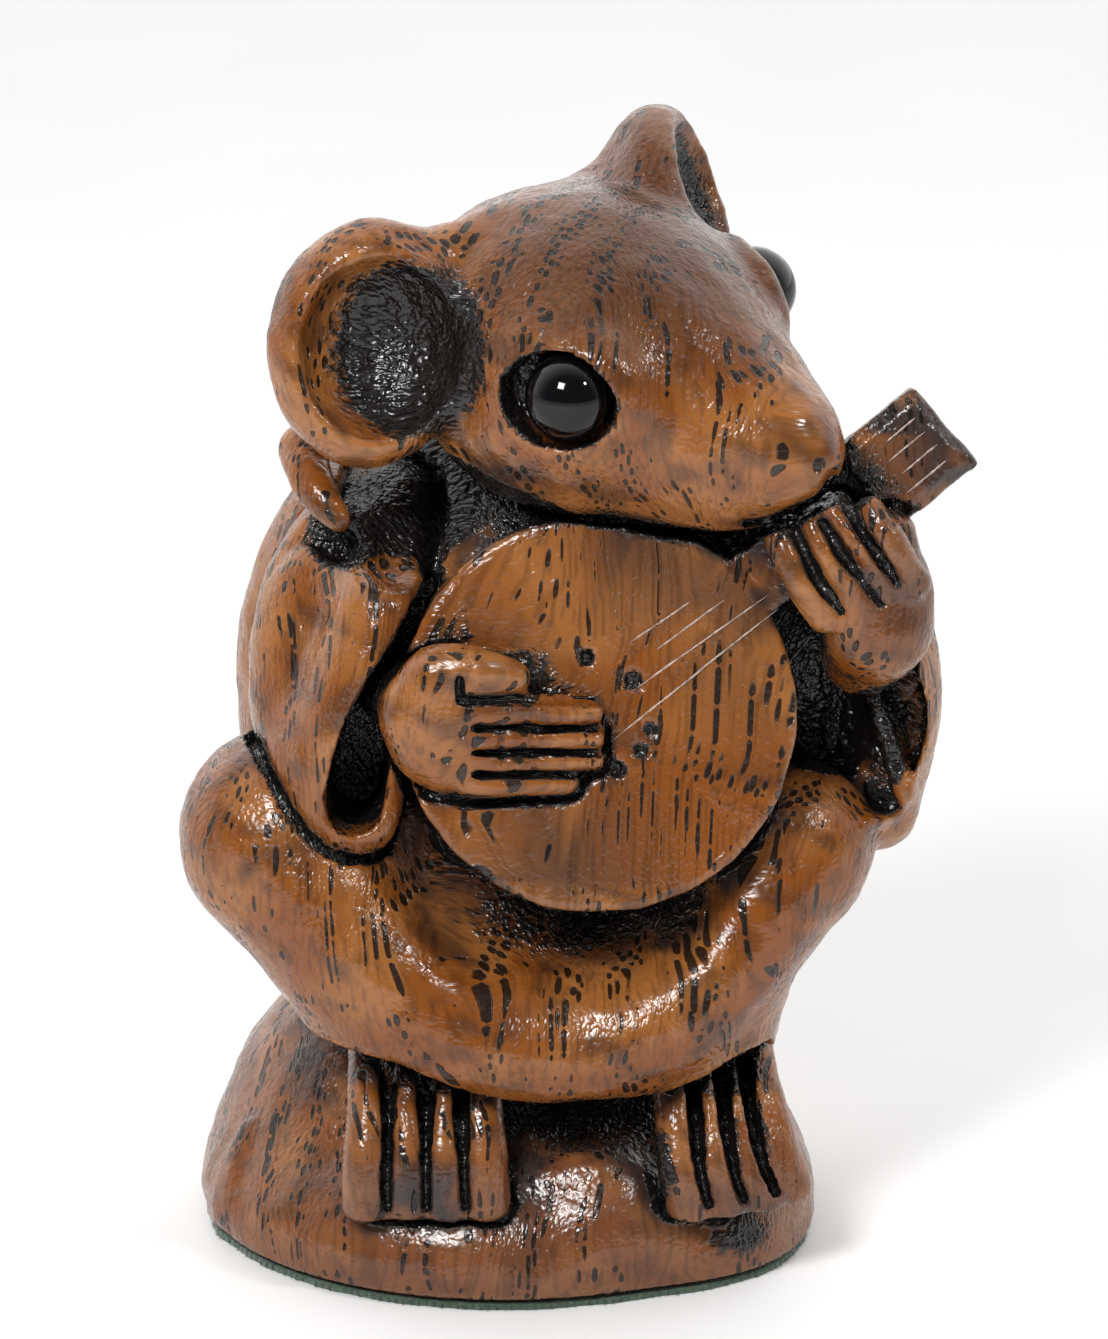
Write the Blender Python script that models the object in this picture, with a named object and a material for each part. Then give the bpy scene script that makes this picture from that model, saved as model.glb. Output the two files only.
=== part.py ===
"""A carved wooden mouse in a wide-sleeved robe, seated on a rounded rock and playing a round lute.

The mouse, its lute and the rock are one block of wood, carved here as clay: forms known by their
distance are joined and cut with soft or crisp edges, and the result is meshed once. Two glass eyes
and a felt pad are pieces of their own. Sizes are in millimetres; the carving's own places and sizes
are in parts, of which the carving is HEIGHT_PARTS tall.
"""

import math

import bmesh
import bpy
import numpy as np
import openvdb

MM = 0.001

# Driving sizes, in millimetres.
CARVING_HEIGHT = 75.0
FELT_THICKNESS = 0.5
FELT_INSET = 0.3
SEAT_GAP = 0.3
EYE_DIAMETER = 5.6
EYE_GAP = 0.3
VOXEL = 0.42
CARVING_TRIANGLES = 8800
FELT_SIDES = 64

# The carving's own unit, and its underside's height in it.
HEIGHT_PARTS = 75.0
PART = CARVING_HEIGHT / HEIGHT_PARTS
UNDERSIDE = -1.0
WOOD_BOTTOM = FELT_THICKNESS + SEAT_GAP
BLOCK = 8
FAR = 1000.0


def at(x, y, z):
    """A place in the carving, from parts to millimetres in the part's frame."""
    return np.array([x * PART, y * PART, (z - UNDERSIDE) * PART + WOOD_BOTTOM])


def axes_of(forward, up):
    """Three unit rows: along forward, across it, and up square to it."""
    along = np.array(forward, float)
    along /= np.linalg.norm(along)
    across = np.cross(np.array(up, float), along)
    across /= np.linalg.norm(across)
    return np.array([along, across, np.cross(along, across)])


UPRIGHT = axes_of((1, 0, 0), (0, 0, 1))


class Form:
    """A solid given by its signed distance in millimetres and the box that holds it."""

    def __init__(self, distance, low, high):
        self.distance = distance
        self.low = np.array(low)
        self.high = np.array(high)


def ellipsoid(centre, radii, axes=UPRIGHT):
    radii = np.array(radii, float) * PART

    def distance(points):
        local = (points - centre) @ axes.T
        near = np.linalg.norm(local / radii, axis=1)
        steep = np.linalg.norm(local / radii**2, axis=1)
        return near * (near - 1) / np.maximum(steep, 1e-6)

    reach = np.linalg.norm(axes * radii[:, None], axis=0)
    return Form(distance, centre - reach, centre + reach)


def slab(centre, half_sizes, axes, rounding):
    """A box with rounded edges, its half sizes given along the rows of axes."""
    rounding = rounding * PART
    core = np.array(half_sizes, float) * PART - rounding

    def distance(points):
        beyond = np.abs((points - centre) @ axes.T) - core
        outside = np.linalg.norm(np.maximum(beyond, 0), axis=1)
        return outside + np.minimum(beyond.max(axis=1), 0) - rounding

    reach = np.abs(axes * (core + rounding)[:, None]).sum(axis=0)
    return Form(distance, centre - reach, centre + reach)


def puck(centre, radius, half_thickness, axis, rounding):
    """A round plate whose faces look along axis."""
    radius, half_thickness, rounding = (x * PART for x in (radius, half_thickness, rounding))

    def distance(points):
        local = points - centre
        height = local @ axis
        ring = np.sqrt(np.maximum((local**2).sum(axis=1) - height**2, 0))
        side = ring - radius + rounding
        face = np.abs(height) - half_thickness + rounding
        outside = np.hypot(np.maximum(side, 0), np.maximum(face, 0))
        return outside + np.minimum(np.maximum(side, face), 0) - rounding

    reach = radius + half_thickness
    return Form(distance, centre - reach, centre + reach)


def smooth_line(points, steps=6):
    """The points of a Catmull-Rom curve through the given ones."""
    points = np.array(points, float)
    if len(points) == 2:
        return points
    padded = np.vstack([2 * points[0] - points[1], points, 2 * points[-1] - points[-2]])
    curve = []
    for p0, p1, p2, p3 in zip(padded, padded[1:], padded[2:], padded[3:]):
        for t in np.arange(steps) / steps:
            curve.append(
                0.5 * (2 * p1 + (p2 - p0) * t + (2 * p0 - 5 * p1 + 4 * p2 - p3) * t**2
                       + (3 * p1 - p0 - 3 * p2 + p3) * t**3)
            )
    return np.array([*curve, points[-1]])


def limb(points, radii, steps=6):
    """A rounded rod along a curve, its radius given at each of the curve's own points."""
    line = smooth_line(points, steps)
    shares = np.linspace(0, len(points) - 1, len(line))
    sizes = np.interp(shares, np.arange(len(points)), radii) * PART

    def distance(places):
        nearest = np.full(len(places), FAR)
        for start, end, r_start, r_end in zip(line, line[1:], sizes, sizes[1:]):
            span = end - start
            share = np.clip((places - start) @ span / (span @ span), 0, 1)
            gap = np.linalg.norm(places - start - share[:, None] * span, axis=1)
            nearest = np.minimum(nearest, gap - r_start - share * (r_end - r_start))
        return nearest

    reach = sizes.max()
    return Form(distance, line.min(axis=0) - reach, line.max(axis=0) + reach)


def swept(points, radii, along, half_depth, steps=6):
    """A curved slot of the given radii, run through the form both ways along a direction."""
    along = np.array(along, float) / np.linalg.norm(along)
    line = smooth_line(points, steps)
    middle = line.mean(axis=0) @ along
    flat_line = line - np.outer(line @ along, along)
    sizes = np.interp(np.linspace(0, len(points) - 1, len(line)), np.arange(len(points)), radii)
    across = limb(flat_line, sizes, 1)

    def distance(places):
        depth = places @ along
        flat = places - np.outer(depth, along)
        return np.maximum(across.distance(flat), np.abs(depth - middle) - half_depth * PART)

    reach = max(radii) * PART + half_depth * PART
    return Form(distance, line.min(axis=0) - reach, line.max(axis=0) + reach)


def groove(points, radii, along, stretch, steps=6):
    """A gouge drawn along a curve, stretch times as deep as its radius."""
    along = np.array(along, float) / np.linalg.norm(along)
    squash = np.eye(3) - (1 - 1 / stretch) * np.outer(along, along)
    line = smooth_line(points, steps)
    sizes = np.interp(np.linspace(0, len(points) - 1, len(line)), np.arange(len(points)), radii)
    across = limb(line @ squash, sizes, 1)
    reach = max(radii) * PART * stretch
    low, high = line.min(axis=0) - reach, line.max(axis=0) + reach
    return Form(lambda places: across.distance(places @ squash), low, high)


class Clay:
    """The carving's distance at a set of points, built up form by form."""

    def __init__(self, points, slack):
        self.points = points
        self.slack = slack
        self.value = np.full(len(points), FAR)

    def near(self, form, blend):
        margin = blend * PART + self.slack
        inside = (self.points > form.low - margin) & (self.points < form.high + margin)
        return np.flatnonzero(inside.all(axis=1))

    def add(self, form, blend=0.4):
        """Joins a form, with a fillet about blend parts wide."""
        near = self.near(form, blend)
        reach = blend * PART
        old = self.value[near]
        new = form.distance(self.points[near])
        overlap = np.maximum(reach - np.abs(old - new), 0) / reach
        self.value[near] = np.minimum(old, new) - overlap**2 * reach / 4

    def cut(self, form, blend=0.4):
        """Takes a form away, with its rim rounded about blend parts wide."""
        near = self.near(form, blend)
        reach = blend * PART
        old = self.value[near]
        new = -form.distance(self.points[near])
        overlap = np.maximum(reach - np.abs(old - new), 0) / reach
        self.value[near] = np.maximum(old, new) + overlap**2 * reach / 4

    def add_clay(self, other, blend=0.4):
        """Joins another piece of clay that is known at the same points."""
        reach = blend * PART
        overlap = np.maximum(reach - np.abs(self.value - other.value), 0) / reach
        self.value = np.minimum(self.value, other.value) - overlap**2 * reach / 4

    def set_in(self, other, width, depth, blend=0.3):
        """Joins another piece of clay, with a groove sunk round it."""
        groove = np.minimum(width * PART - other.value, self.value + depth * PART)
        self.value = np.maximum(self.value, groove)
        self.add_clay(other, blend)

    def crease(self, line, width, depth, along):
        """Sinks the surface beside a line drawn on it, as seen along a way; a negative depth raises it."""
        along = np.array(along, float) / np.linalg.norm(along)
        width, depth = width * PART, depth * PART
        line = smooth_line(line)
        reach = 6 * PART
        near = self.near(Form(None, line.min(axis=0) - reach, line.max(axis=0) + reach), 0)
        places = self.points[near]
        nearest = np.full(len(places), FAR)
        for start, end in zip(line, line[1:]):
            span = end - start
            flat_span = span - (span @ along) * along
            rel = places - start
            depth_here = rel @ along
            flat = rel - depth_here[:, None] * along
            share = np.clip(flat @ flat_span / (flat_span @ flat_span), 0, 1)
            gap = np.linalg.norm(flat - share[:, None] * flat_span, axis=1)
            off = np.abs(depth_here - share * (span @ along))
            nearest = np.minimum(nearest, gap + np.maximum(off - reach / 2, 0))
        fall = np.clip(1 - nearest / width, 0, 1)
        self.value[near] += depth * fall * fall * (3 - 2 * fall)


# The head's own directions: forward along the snout, and up through the crown.
HEAD = at(2.5, 0.0, 58.0)
HEAD_AXES = axes_of((0.77, -0.63, -0.09), (-0.03, -0.13, 0.99))
EYE_PLACES = {"eye_left": (10.1, -9.5, 4.4), "eye_right": (10.6, 9.0, 5.3)}

# The lute's own directions: out of its face, and along its neck.
LUTE_FACE = np.array([0.0, -0.961, 0.276])
LUTE_NECK = np.array([0.768, 0.177, 0.615])
LUTE_CENTRE = at(6.1, -14.5, 38.9)
LUTE_RADIUS = 12.9
LUTE_AXES = axes_of(LUTE_NECK, LUTE_FACE)

# The way that the front is looked at, down on to it: slots and creases are cut along it.
INWARD = np.array([0.0, 0.94, -0.342])

# Each ear's own directions: out of its dish, across it and up it.
LEFT_EAR = axes_of((-0.1, -0.94, 0.3), (0, 0.2, 1))
RIGHT_EAR = axes_of((0.94, -0.12, 0.34), (-0.3, 0.1, 1))


def in_head(forward, across, up):
    """A place in the head's own directions."""
    return HEAD + np.array([forward, across, up]) * PART @ HEAD_AXES


def robe(clay):
    """The body, wide at the back, with folds down it."""
    clay.add(ellipsoid(at(1, 5, 32), (19.0, 11, 24)), 3)
    clay.add(ellipsoid(at(-3.6, 6, 36), (13.9, 9.5, 16.5)), 2)
    clay.add(ellipsoid(at(4, 0, 38), (14, 10.5, 14)), 3)
    clay.add(limb([at(8, -4, 49), at(15, -5, 48), at(21, -5, 43)], [6, 5, 4.5]), 2)
    clay.add(ellipsoid(at(-1.5, 6, 20), (16.8, 9.5, 10)), 4)
    for x, depth in ((-13, 0.5), (-8, 0.8), (-2.5, 0.6), (3, 0.8), (9, 0.6)):
        fold = [at(x * 0.7, 9, 48), at(x, 14, 38), at(x * 1.05, 14, 26), at(x * 1.1, 13, 14)]
        clay.crease(fold, 2.4, depth, (0, 1, 0))


def right_sleeve(clay):
    """The sleeve behind the far knee, open to the front, with its wall on the outer side."""
    clay.add(ellipsoid(at(23.2, -4, 36.5), (5.4, 8.5, 10)), 1.5)
    clay.add(limb([at(24, -4, 43), at(25.6, -5, 37), at(24.9, -5, 28.6)], [3.4, 3.2, 2.6]), 1)
    clay.cut(ellipsoid(at(20.8, -10.5, 37), (5.8, 9.0, 8.5)), 0.4)
    mouth = [at(24.4, -9, 41), at(25.6, -9, 36), at(24.9, -9, 31)]
    clay.cut(swept(mouth, [2.2, 2.0, 1.4], (0.1, 1, -0.2), 4.4), 0.5)
    clay.add(limb([at(23.6, -5.0, 40), at(24.6, -6.6, 36.5), at(26.4, -8.0, 31)], [0.9, 0.7, 0.8]), 0.6)


def gown(clay):
    """The cloth over the crossed knees, with its lap and the fold that runs from knee to knee."""
    knees = Clay(clay.points, clay.slack)
    knees.add(limb([at(-4, 2, 24), at(-11, -4, 27), at(-14.5, -7, 28.2)], [8, 8, 6.6]), 3)
    knees.add(limb([at(9, 2, 22), at(15, -4, 25.3), at(19.1, -7, 27.4)], [8, 6.8, 5.3]), 3)
    knees.add(limb([at(-14, -8, 27), at(-9, -10.5, 20), at(-5, -10.5, 14)], [6.4, 5.8, 5.6]), 3)
    knees.add(limb([at(17.6, -8, 26), at(14.0, -9.5, 20), at(12.4, -10, 13)], [5.3, 5.4, 5.2]), 3)
    knees.add(ellipsoid(at(4, -7, 18), (12, 9.5, 8.5)), 4)
    ridge = [at(-12, -12.5, 25), at(-6, -14.5, 19), at(3, -15.5, 15.5), at(11, -15, 18), at(17, -12, 24)]
    knees.add(limb(ridge, [3, 3, 3, 3, 3]), 3)
    knees.cut(ellipsoid(at(4.5, -15, 27), (8.5, 6, 6)), 3)
    clay.add_clay(knees, 0.5)


def left_sleeve(clay):
    """The sleeve in front, hanging to the knee, its cuff a tall slot with an upturned lip."""
    sleeve = Clay(clay.points, clay.slack)
    arm = [at(-7.5, 0, 46.5), at(-11, -3, 43), at(-12, -5.5, 37), at(-11, -8.5, 32)]
    sleeve.add(limb(arm, [5, 5, 4.8, 4]), 2)
    sleeve.add(limb([at(-9, -4, 45.5), at(-8, -9.5, 44.3)], [4, 2.8]), 2)
    lean = axes_of((0.3, 0, 0.95), (0, -1, 0))
    sleeve.add(ellipsoid(at(-9.9, -9.2, 37.2), (10.6, 3.9, 5.4), lean), 1.5)
    sleeve.add(limb([at(-11, -9.5, 34), at(-10.2, -11.8, 30.6)], [3.8, 2.4]), 1.5)
    sleeve.add(limb([at(-10.2, -11.5, 30), at(-8.2, -12.4, 30.4), at(-7.2, -11.8, 33.8)], [1.7, 1.3, 0.9]), 0.8)
    slot = [at(-4.9, -12, 45.2), at(-6.5, -12, 42), at(-8.0, -12, 39), at(-9.0, -12, 36), at(-9.6, -12, 33),
            at(-9.7, -12, 31.9)]
    sleeve.cut(swept(slot, [0.9, 1.2, 1.5, 1.8, 1.9, 1.8], (0, 1, -0.1), 5), 0.35)
    clay.set_in(sleeve, 0.7, 0.9, 0.3)
    clay.cut(swept(slot, [0.6, 1.0, 1.3, 1.6, 1.75, 1.65], (0, 1, -0.1), 6.8), 0.3)
    shoulder = [at(-15.8, -6, 46.4), at(-13.4, -6, 48.9), at(-10.6, -8, 48.2)]
    clay.cut(swept(shoulder, [0.3, 0.9, 1.1], INWARD, 2.6), 1.4)
    clay.cut(ellipsoid(at(-6.2, -10.5, 49.8), (4.7, 6.0, 3.7)), 0.6)


def collar(clay):
    """A roll of cloth round the neck, open at the throat."""
    line = [at(-12.0, -4.0, 50.6), at(-11.6, 0, 50.8), at(-10, 4, 50.8), at(-3, 10, 51.6), at(5, 11, 51.6),
            at(12, 6, 50), at(15, -1, 48)]
    clay.add(limb(line, [1.5, 1.7, 1.8, 1.9, 1.9, 1.8, 1.4]), 0.8)
    flap = [at(-13.0, -4.5, 53.6), at(-12.6, -6.8, 52.5), at(-11.6, -8.4, 51.4), at(-10.6, -9.3, 50.5)]
    clay.add(limb(flap, [1.7, 1.5, 1.25, 0.9]), 0.5)


def hem(clay):
    """Cuts the cloth off above the feet, along a line that dips in the middle, and hollows it there."""
    across = [-22, -10, -7, -2.3, 2.5, 7.2, 11, 13.9, 16.7, 18.5, 24]
    heights = [16.0, 15.6, 15.1, 13.1, 11.7, 11.8, 12.9, 14.1, 14.3, 13.4, 12.0]
    lifted = [(height - UNDERSIDE) * PART + WOOD_BOTTOM for height in heights]

    def distance(points):
        return points[:, 2] - np.interp(points[:, 0] / PART, across, lifted)

    clay.cut(Form(distance, at(-40, -40, -10), at(50, 40, 20)), 0.35)
    for centre, radii in ((at(-5.3, -12.9, 13.8), (4.9, 3.2, 2.6)), (at(14.4, -12.2, 13.2), (4.2, 3.0, 2.5)),
                          (at(4.1, -12.6, 12.3), (7.4, 3.2, 2.3))):
        clay.cut(ellipsoid(centre, radii), 0.3)


def rock(clay):
    stone = Clay(clay.points, clay.slack)
    stone.add(ellipsoid(at(0, -1, 0.3), (20.7, 17.6, 9.0)), 1)
    stone.add(ellipsoid(at(-8, 3, 4.5), (10.5, 12, 9.5)), 4)
    stone.add(ellipsoid(at(9.5, 1, 3.0), (8.5, 11, 8)), 4)
    stone.add(ellipsoid(at(11.5, -6, -0.5), (8.8, 9, 7.5)), 3)
    stone.add(ellipsoid(at(6.5, -12, 2.6), (5, 5.2, 4.6)), 2)
    stone.cut(ellipsoid(at(4.6, -15.2, 9.9), (4.6, 4.6, 3.0)), 0.6)
    stone.add(limb([at(2.6, -13.6, 5.4), at(6.2, -13.8, 6.2), at(8.8, -13.6, 5.2)], [1.2, 1.5, 1.1]), 1.2)
    stone.crease([at(-17.6, -8, 7.5), at(-18.8, -8, 3.5), at(-19.6, -7, 0)], 1.4, -0.35, INWARD)
    clay.add_clay(stone, 0.4)


def tail(clay):
    """The tail, low on the back of the rock, from under the robe round to the far side."""
    line = [at(-6, 11, 12), at(-3, 14.2, 8.6), at(3, 15.4, 5.6), at(10, 13.2, 3.8), at(15.5, 8.8, 3.0),
            at(17.5, 4.5, 3.4)]
    clay.add(limb(line, [1.9, 1.8, 1.6, 1.4, 1.1, 0.7]), 0.6)


def foot(clay, toes, sole):
    """Four long flat toes, parted by grooves that narrow towards the rock and ended by a step."""
    paw = Clay(clay.points, clay.slack)
    for line in toes:
        paw.add(limb(line, [1.4, 1.5, 1.75, 1.7]), 0.7)
    for one, other in zip(toes, toes[1:]):
        middle = [(p + q) / 2 for p, q in zip(one, other)]
        between = [spot + np.array([0, -out, 0.3]) * PART for spot, out in zip(middle, (0.6, 1.0, 1.5, 1.5))]
        paw.cut(groove(between, [0.72, 0.55, 0.38, 0.32], INWARD, 3.4), 0.2)
    paw.cut(slab(sole, (12, 7, 4), UPRIGHT, 0.3), 0.15)
    clay.set_in(paw, 0.35, 0.6, 0.2)


def feet(clay):
    left = [(-8.9, -9.0), (-6.4, -6.4), (-3.9, -3.8), (-1.7, -1.2)]
    foot(clay, [[at(x, -10.0, 13.6), at(x, -13.4, 11.4), at((x + end) / 2, -15.5, 8), at(end, -16.0, 5.0)]
                for x, end in left], at(-5, -17, 0.2))
    right = [(11.2, 12.3, 0), (13.3, 14.7, 0.6), (15.1, 17.0, 1.6), (16.6, 18.9, 3)]
    foot(clay, [[at(x, -10.0 + back, 13.2), at(x + 0.3, -13.3 + back, 10.9),
                 at((x + end) / 2, -15.3 + back, 7.6), at(end, -15.6 + back, 4.9)]
                for x, end, back in right], at(16, -15, 0.0))


def lute(clay):
    front = LUTE_CENTRE
    body = Clay(clay.points, clay.slack)
    body.add(puck(front - LUTE_FACE * 2.2 * PART, LUTE_RADIUS, 2.2, LUTE_FACE, 0.35), 0.3)
    neck = front - LUTE_FACE * 1.6 * PART + LUTE_NECK * 17 * PART
    body.add(slab(neck, (8, 2.2, 1.4), LUTE_AXES, 0.4), 0.3)
    peghead = front - LUTE_FACE * 1.7 * PART + LUTE_NECK * 25.6 * PART
    body.add(slab(peghead, (3.6, 3.3, 1.5), LUTE_AXES, 0.3), 0.1)
    body.add(slab(peghead + LUTE_FACE * 0.3 * PART, (3.1, 2.7, 1.6), LUTE_AXES, 0.2), 0.1)
    clay.set_in(body, 0.8, 1.5, 0.25)


def left_hand(clay):
    """The hand over the disc: its fingers lie level, with slots between them."""
    hand = Clay(clay.points, clay.slack)
    hand.add(ellipsoid(at(-3.6, -15.2, 38.8), (4.2, 2.5, 5.0)), 0.4)
    hand.add(limb([at(-7.6, -8.5, 38.8), at(-4.5, -14.4, 39)], [2.3, 3.1]), 1)
    heights = (39.7, 38.0, 36.4, 34.9)
    for z, start, end in zip(heights, (-2.4, -2.4, -2.4, -2.0), (5.7, 5.9, 5.8, 4.0)):
        hand.add(limb([at(start, -16.0, z), at(end, -15.8, z)], [1.2, 1.0]), 0.5)
    hand.add(limb([at(-4.2, -15.7, 42.1), at(-1.6, -15.9, 42.4), at(0.8, -15.6, 41.9)], [1.8, 1.6, 1.0]), 0.8)
    hand.cut(slab(at(9.55, -16, 38), (3, 4, 6), UPRIGHT, 0.2), 0.3)
    for upper, lower in zip(heights, heights[1:]):
        level = (upper + lower) / 2
        hand.cut(groove([at(-1.8, -17.0, level), at(7.0, -16.9, level)], [0.2, 0.33], INWARD, 4.5), 0.12)
    under_thumb = [at(-2.6, -17.4, 40.9), at(0.5, -17.3, 40.95), at(6.5, -17.0, 40.9)]
    hand.cut(groove(under_thumb, [0.25, 0.4, 0.62], INWARD, 3.5), 0.15)
    for x, top, bottom in ((2.0, 40.2, 36.2), (-0.1, 38.6, 36.6), (-2.7, 42.4, 41.0)):
        hand.cut(groove([at(x, -17.3, top), at(x, -17.3, bottom)], [0.2, 0.2], INWARD, 4), 0.12)
    clay.set_in(hand, 0.6, 0.8, 0.25)


def right_hand(clay):
    """The hand on the neck: four fingers curl over it, with wide grooves between them."""
    hand = Clay(clay.points, clay.slack)
    hand.add(ellipsoid(at(24.4, -11.8, 44.9), (3.5, 3.2, 4.4)), 0.6)
    hand.add(limb([at(24, -12, 44), at(23.6, -8, 41)], [3.0, 3.0]), 1.5)
    hand.add(limb([at(25.2, -11.4, 46.2), at(24.9, -11.2, 50.0)], [2.6, 1.7]), 0.8)
    hand.add(limb([at(23.0, -12.2, 46.5), at(20.9, -12.1, 50.8)], [2.9, 2.5]), 0.8)
    fingers = (((17.5, 51.0, 0.95), (18.9, 48.4, 1.05), (20.7, 45.6, 1.4)),
               ((19.8, 51.6, 0.9), (21.0, 49.4, 0.95), (22.9, 46.8, 1.1)),
               ((21.1, 52.5, 0.85), (23.0, 50.5, 0.9), (25.0, 47.6, 1.0)),
               ((23.5, 52.6, 0.9), (25.0, 50.4, 1.0), (26.3, 47.6, 1.2)))
    for (x0, z0, r0), (x1, z1, r1), (x2, z2, r2) in fingers:
        hand.add(limb([at(x0, -13.5, z0), at(x1, -14.5, z1), at(x2, -13.7, z2)], [r0, r1, r2]), 0.4)
    grooves = (((18.6, 51.9), (20.0, 48.9), (21.8, 46.0)), ((20.5, 52.2), (22.0, 49.8), (24.3, 46.6)),
               ((22.0, 53.2), (24.0, 50.2), (25.4, 48.0)))
    for (x0, z0), (x1, z1), (x2, z2) in grooves:
        between = [at(x0, -15.0, z0), at(x1, -15.6, z1), at(x2, -15.1, z2)]
        hand.cut(groove(between, [0.5, 0.5, 0.25], INWARD, 3.2), 0.15)
    clay.set_in(hand, 0.6, 0.9, 0.25)


def head(clay):
    skull = Clay(clay.points, clay.slack)
    skull.add(ellipsoid(in_head(4, 0, 2.9), (11.5, 11, 10.1), HEAD_AXES), 1.2)
    skull.add(ellipsoid(in_head(0.5, -1.5, 3.4), (8.5, 8.6, 8.4), HEAD_AXES), 2)
    snout = [in_head(along, 0, up) for along, up in ((6, 1.2), (12, 0.7), (16, 0.0), (19.3, 0.1), (21.6, 0.2))]
    skull.add(limb(snout, [8.2, 7.9, 6.3, 4.5, 2.8]), 3)
    skull.add(limb([in_head(8.4, -6.6, 3.4), in_head(8.4, 4.2, 3.8)], [5.2, 5.0]), 3)
    skull.add(ellipsoid(in_head(5, -5, -0.4), (8, 6, 5.0), HEAD_AXES), 3)
    mouth = [at(15.4, -15, 52.3), at(17.5, -15, 52.6), at(19.0, -15, 53.1), at(20.1, -15, 53.8),
             at(21.0, -14, 54.9)]
    skull.crease(mouth, 0.6, 0.55, INWARD)
    clay.set_in(skull, 0.6, 0.9, 0.25)


def ear(clay, centre, axes, outer, inner, sink):
    """A dished ear: axes run out of the dish, across it and up it."""
    clay.add(ellipsoid(centre, outer, axes), 1.5)
    clay.cut(ellipsoid(centre + sink @ axes * PART, inner, axes), 0.8)


def ears(clay):
    clay.add(limb([at(-8.5, -6, 67.3), at(-4.5, -5, 66.9), at(0, -3, 67.1)], [1.8, 2.0, 2.2]), 1)
    ear(clay, at(-8.7, -8.0, 61.8), LEFT_EAR, (4.2, 6.5, 7.9), (5.0, 5.3, 6.0), np.array([3.4, 1.3, -0.3]))
    clay.add(limb([at(6.5, 3, 66), at(9.8, 5, 70.4)], [4.2, 2.7]), 2)
    ear(clay, at(11.4, 5, 67.4), RIGHT_EAR, (3.6, 6.9, 6.9), (4.2, 5.6, 5.6), np.array([3.2, 0, 0]))


def almond(centre, half_length, half_height, half_depth, axes):
    """A lens-shaped cutter: axes run through it, along its length and up."""
    half_length, half_height, half_depth = (x * PART for x in (half_length, half_height, half_depth))
    radius = (half_length**2 + half_height**2) / (2 * half_height)
    drop = radius - half_height

    def distance(points):
        through, along, up = ((points - centre) @ axes.T).T
        lens = np.hypot(along, np.abs(up) + drop) - radius
        return np.maximum(lens, np.abs(through) - half_depth)

    reach = half_length + half_depth
    return Form(distance, centre - reach, centre + reach)


def eye_sockets(clay):
    """A round seat for each eye, inside almond-shaped lids."""
    for side, place in zip((-1, 1), EYE_PLACES.values()):
        centre = in_head(*place)
        out = np.array([0.2, side * 0.97, 0.1]) @ HEAD_AXES
        lids = axes_of(out, np.array([0.06, 0, 1]) @ HEAD_AXES)
        height, long_half, up_half = (2.2, 4.6, 4.0) if side < 0 else (1.5, 4.2, 3.7)
        clay.add(ellipsoid(centre - out * 1.0 * PART, (height, long_half, up_half), lids), 1.5)
        opening = centre + (out * 3.4 - HEAD_AXES[0] * 0.25) * PART
        clay.cut(almond(opening, 4.05, 3.1, 3.9, lids), 0.25)
        clay.cut(ellipsoid(centre, [(EYE_DIAMETER / 2 + EYE_GAP) / PART] * 3), 0.15)


def ground(clay):
    """Cuts the underside flat."""
    bottom = Form(lambda points: points[:, 2] - WOOD_BOTTOM, at(-60, -60, -60), at(60, 60, 0))
    clay.cut(bottom, 0.2)


def carve(clay):
    robe(clay)
    right_sleeve(clay)
    gown(clay)
    left_sleeve(clay)
    collar(clay)
    hem(clay)
    rock(clay)
    tail(clay)
    feet(clay)
    lute(clay)
    left_hand(clay)
    right_hand(clay)
    head(clay)
    ears(clay)
    eye_sockets(clay)
    ground(clay)


# The box that the carving is worked out in.
LOW = at(-25, -24, -3)
HIGH = at(34, 21, 78)


def distances(voxel):
    """The carving's distance on a grid, worked out only in the blocks that its surface may cross."""
    counts = [int(math.ceil(side / voxel / BLOCK)) for side in HIGH - LOW]
    starts = np.stack(np.meshgrid(*[np.arange(n) for n in counts], indexing="ij"), axis=-1).reshape(-1, 3)
    half_diagonal = BLOCK * voxel * math.sqrt(3) / 2
    coarse = Clay(LOW + (starts + 0.5) * BLOCK * voxel, half_diagonal)
    carve(coarse)
    values = np.repeat(np.sign(coarse.value), BLOCK**3).reshape(*counts, BLOCK, BLOCK, BLOCK).astype(np.float32)
    crossed = np.flatnonzero(np.abs(coarse.value) < 1.5 * half_diagonal)
    inner = np.stack(np.meshgrid(*[np.arange(BLOCK)] * 3, indexing="ij"), axis=-1).reshape(-1, 3)
    fine = Clay((LOW + (starts[crossed][:, None] * BLOCK + inner) * voxel).reshape(-1, 3), 2 * voxel)
    carve(fine)
    blocks = starts[crossed]
    values[blocks[:, 0], blocks[:, 1], blocks[:, 2]] = fine.value.reshape(-1, BLOCK, BLOCK, BLOCK)
    return values.transpose(0, 3, 1, 4, 2, 5).reshape([n * BLOCK for n in counts])


def largest(points, quads):
    """The biggest joined surface, without the loose specks that thin grooves leave."""
    label = np.arange(len(points))
    changed = True
    while changed:
        lowest = label[quads].min(axis=1)
        joined = label.copy()
        for corner in range(4):
            np.minimum.at(joined, quads[:, corner], lowest)
        joined = joined[joined]
        changed = bool((joined != label).any())
        label = joined
    keep = label == np.bincount(label).argmax()
    number = np.cumsum(keep) - 1
    return points[keep], number[quads[keep[quads[:, 0]]]]


def surface(voxel):
    """The carving's surface as points and four-sided faces."""
    grid = openvdb.FloatGrid(FAR)
    grid.copyFromArray(np.clip(distances(voxel), -2 * voxel, 2 * voxel))
    points, _, quads = grid.convertToPolygons(isovalue=0.0, adaptivity=0.0)
    points, quads = largest(points, quads)
    return points * voxel + LOW, quads


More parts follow.
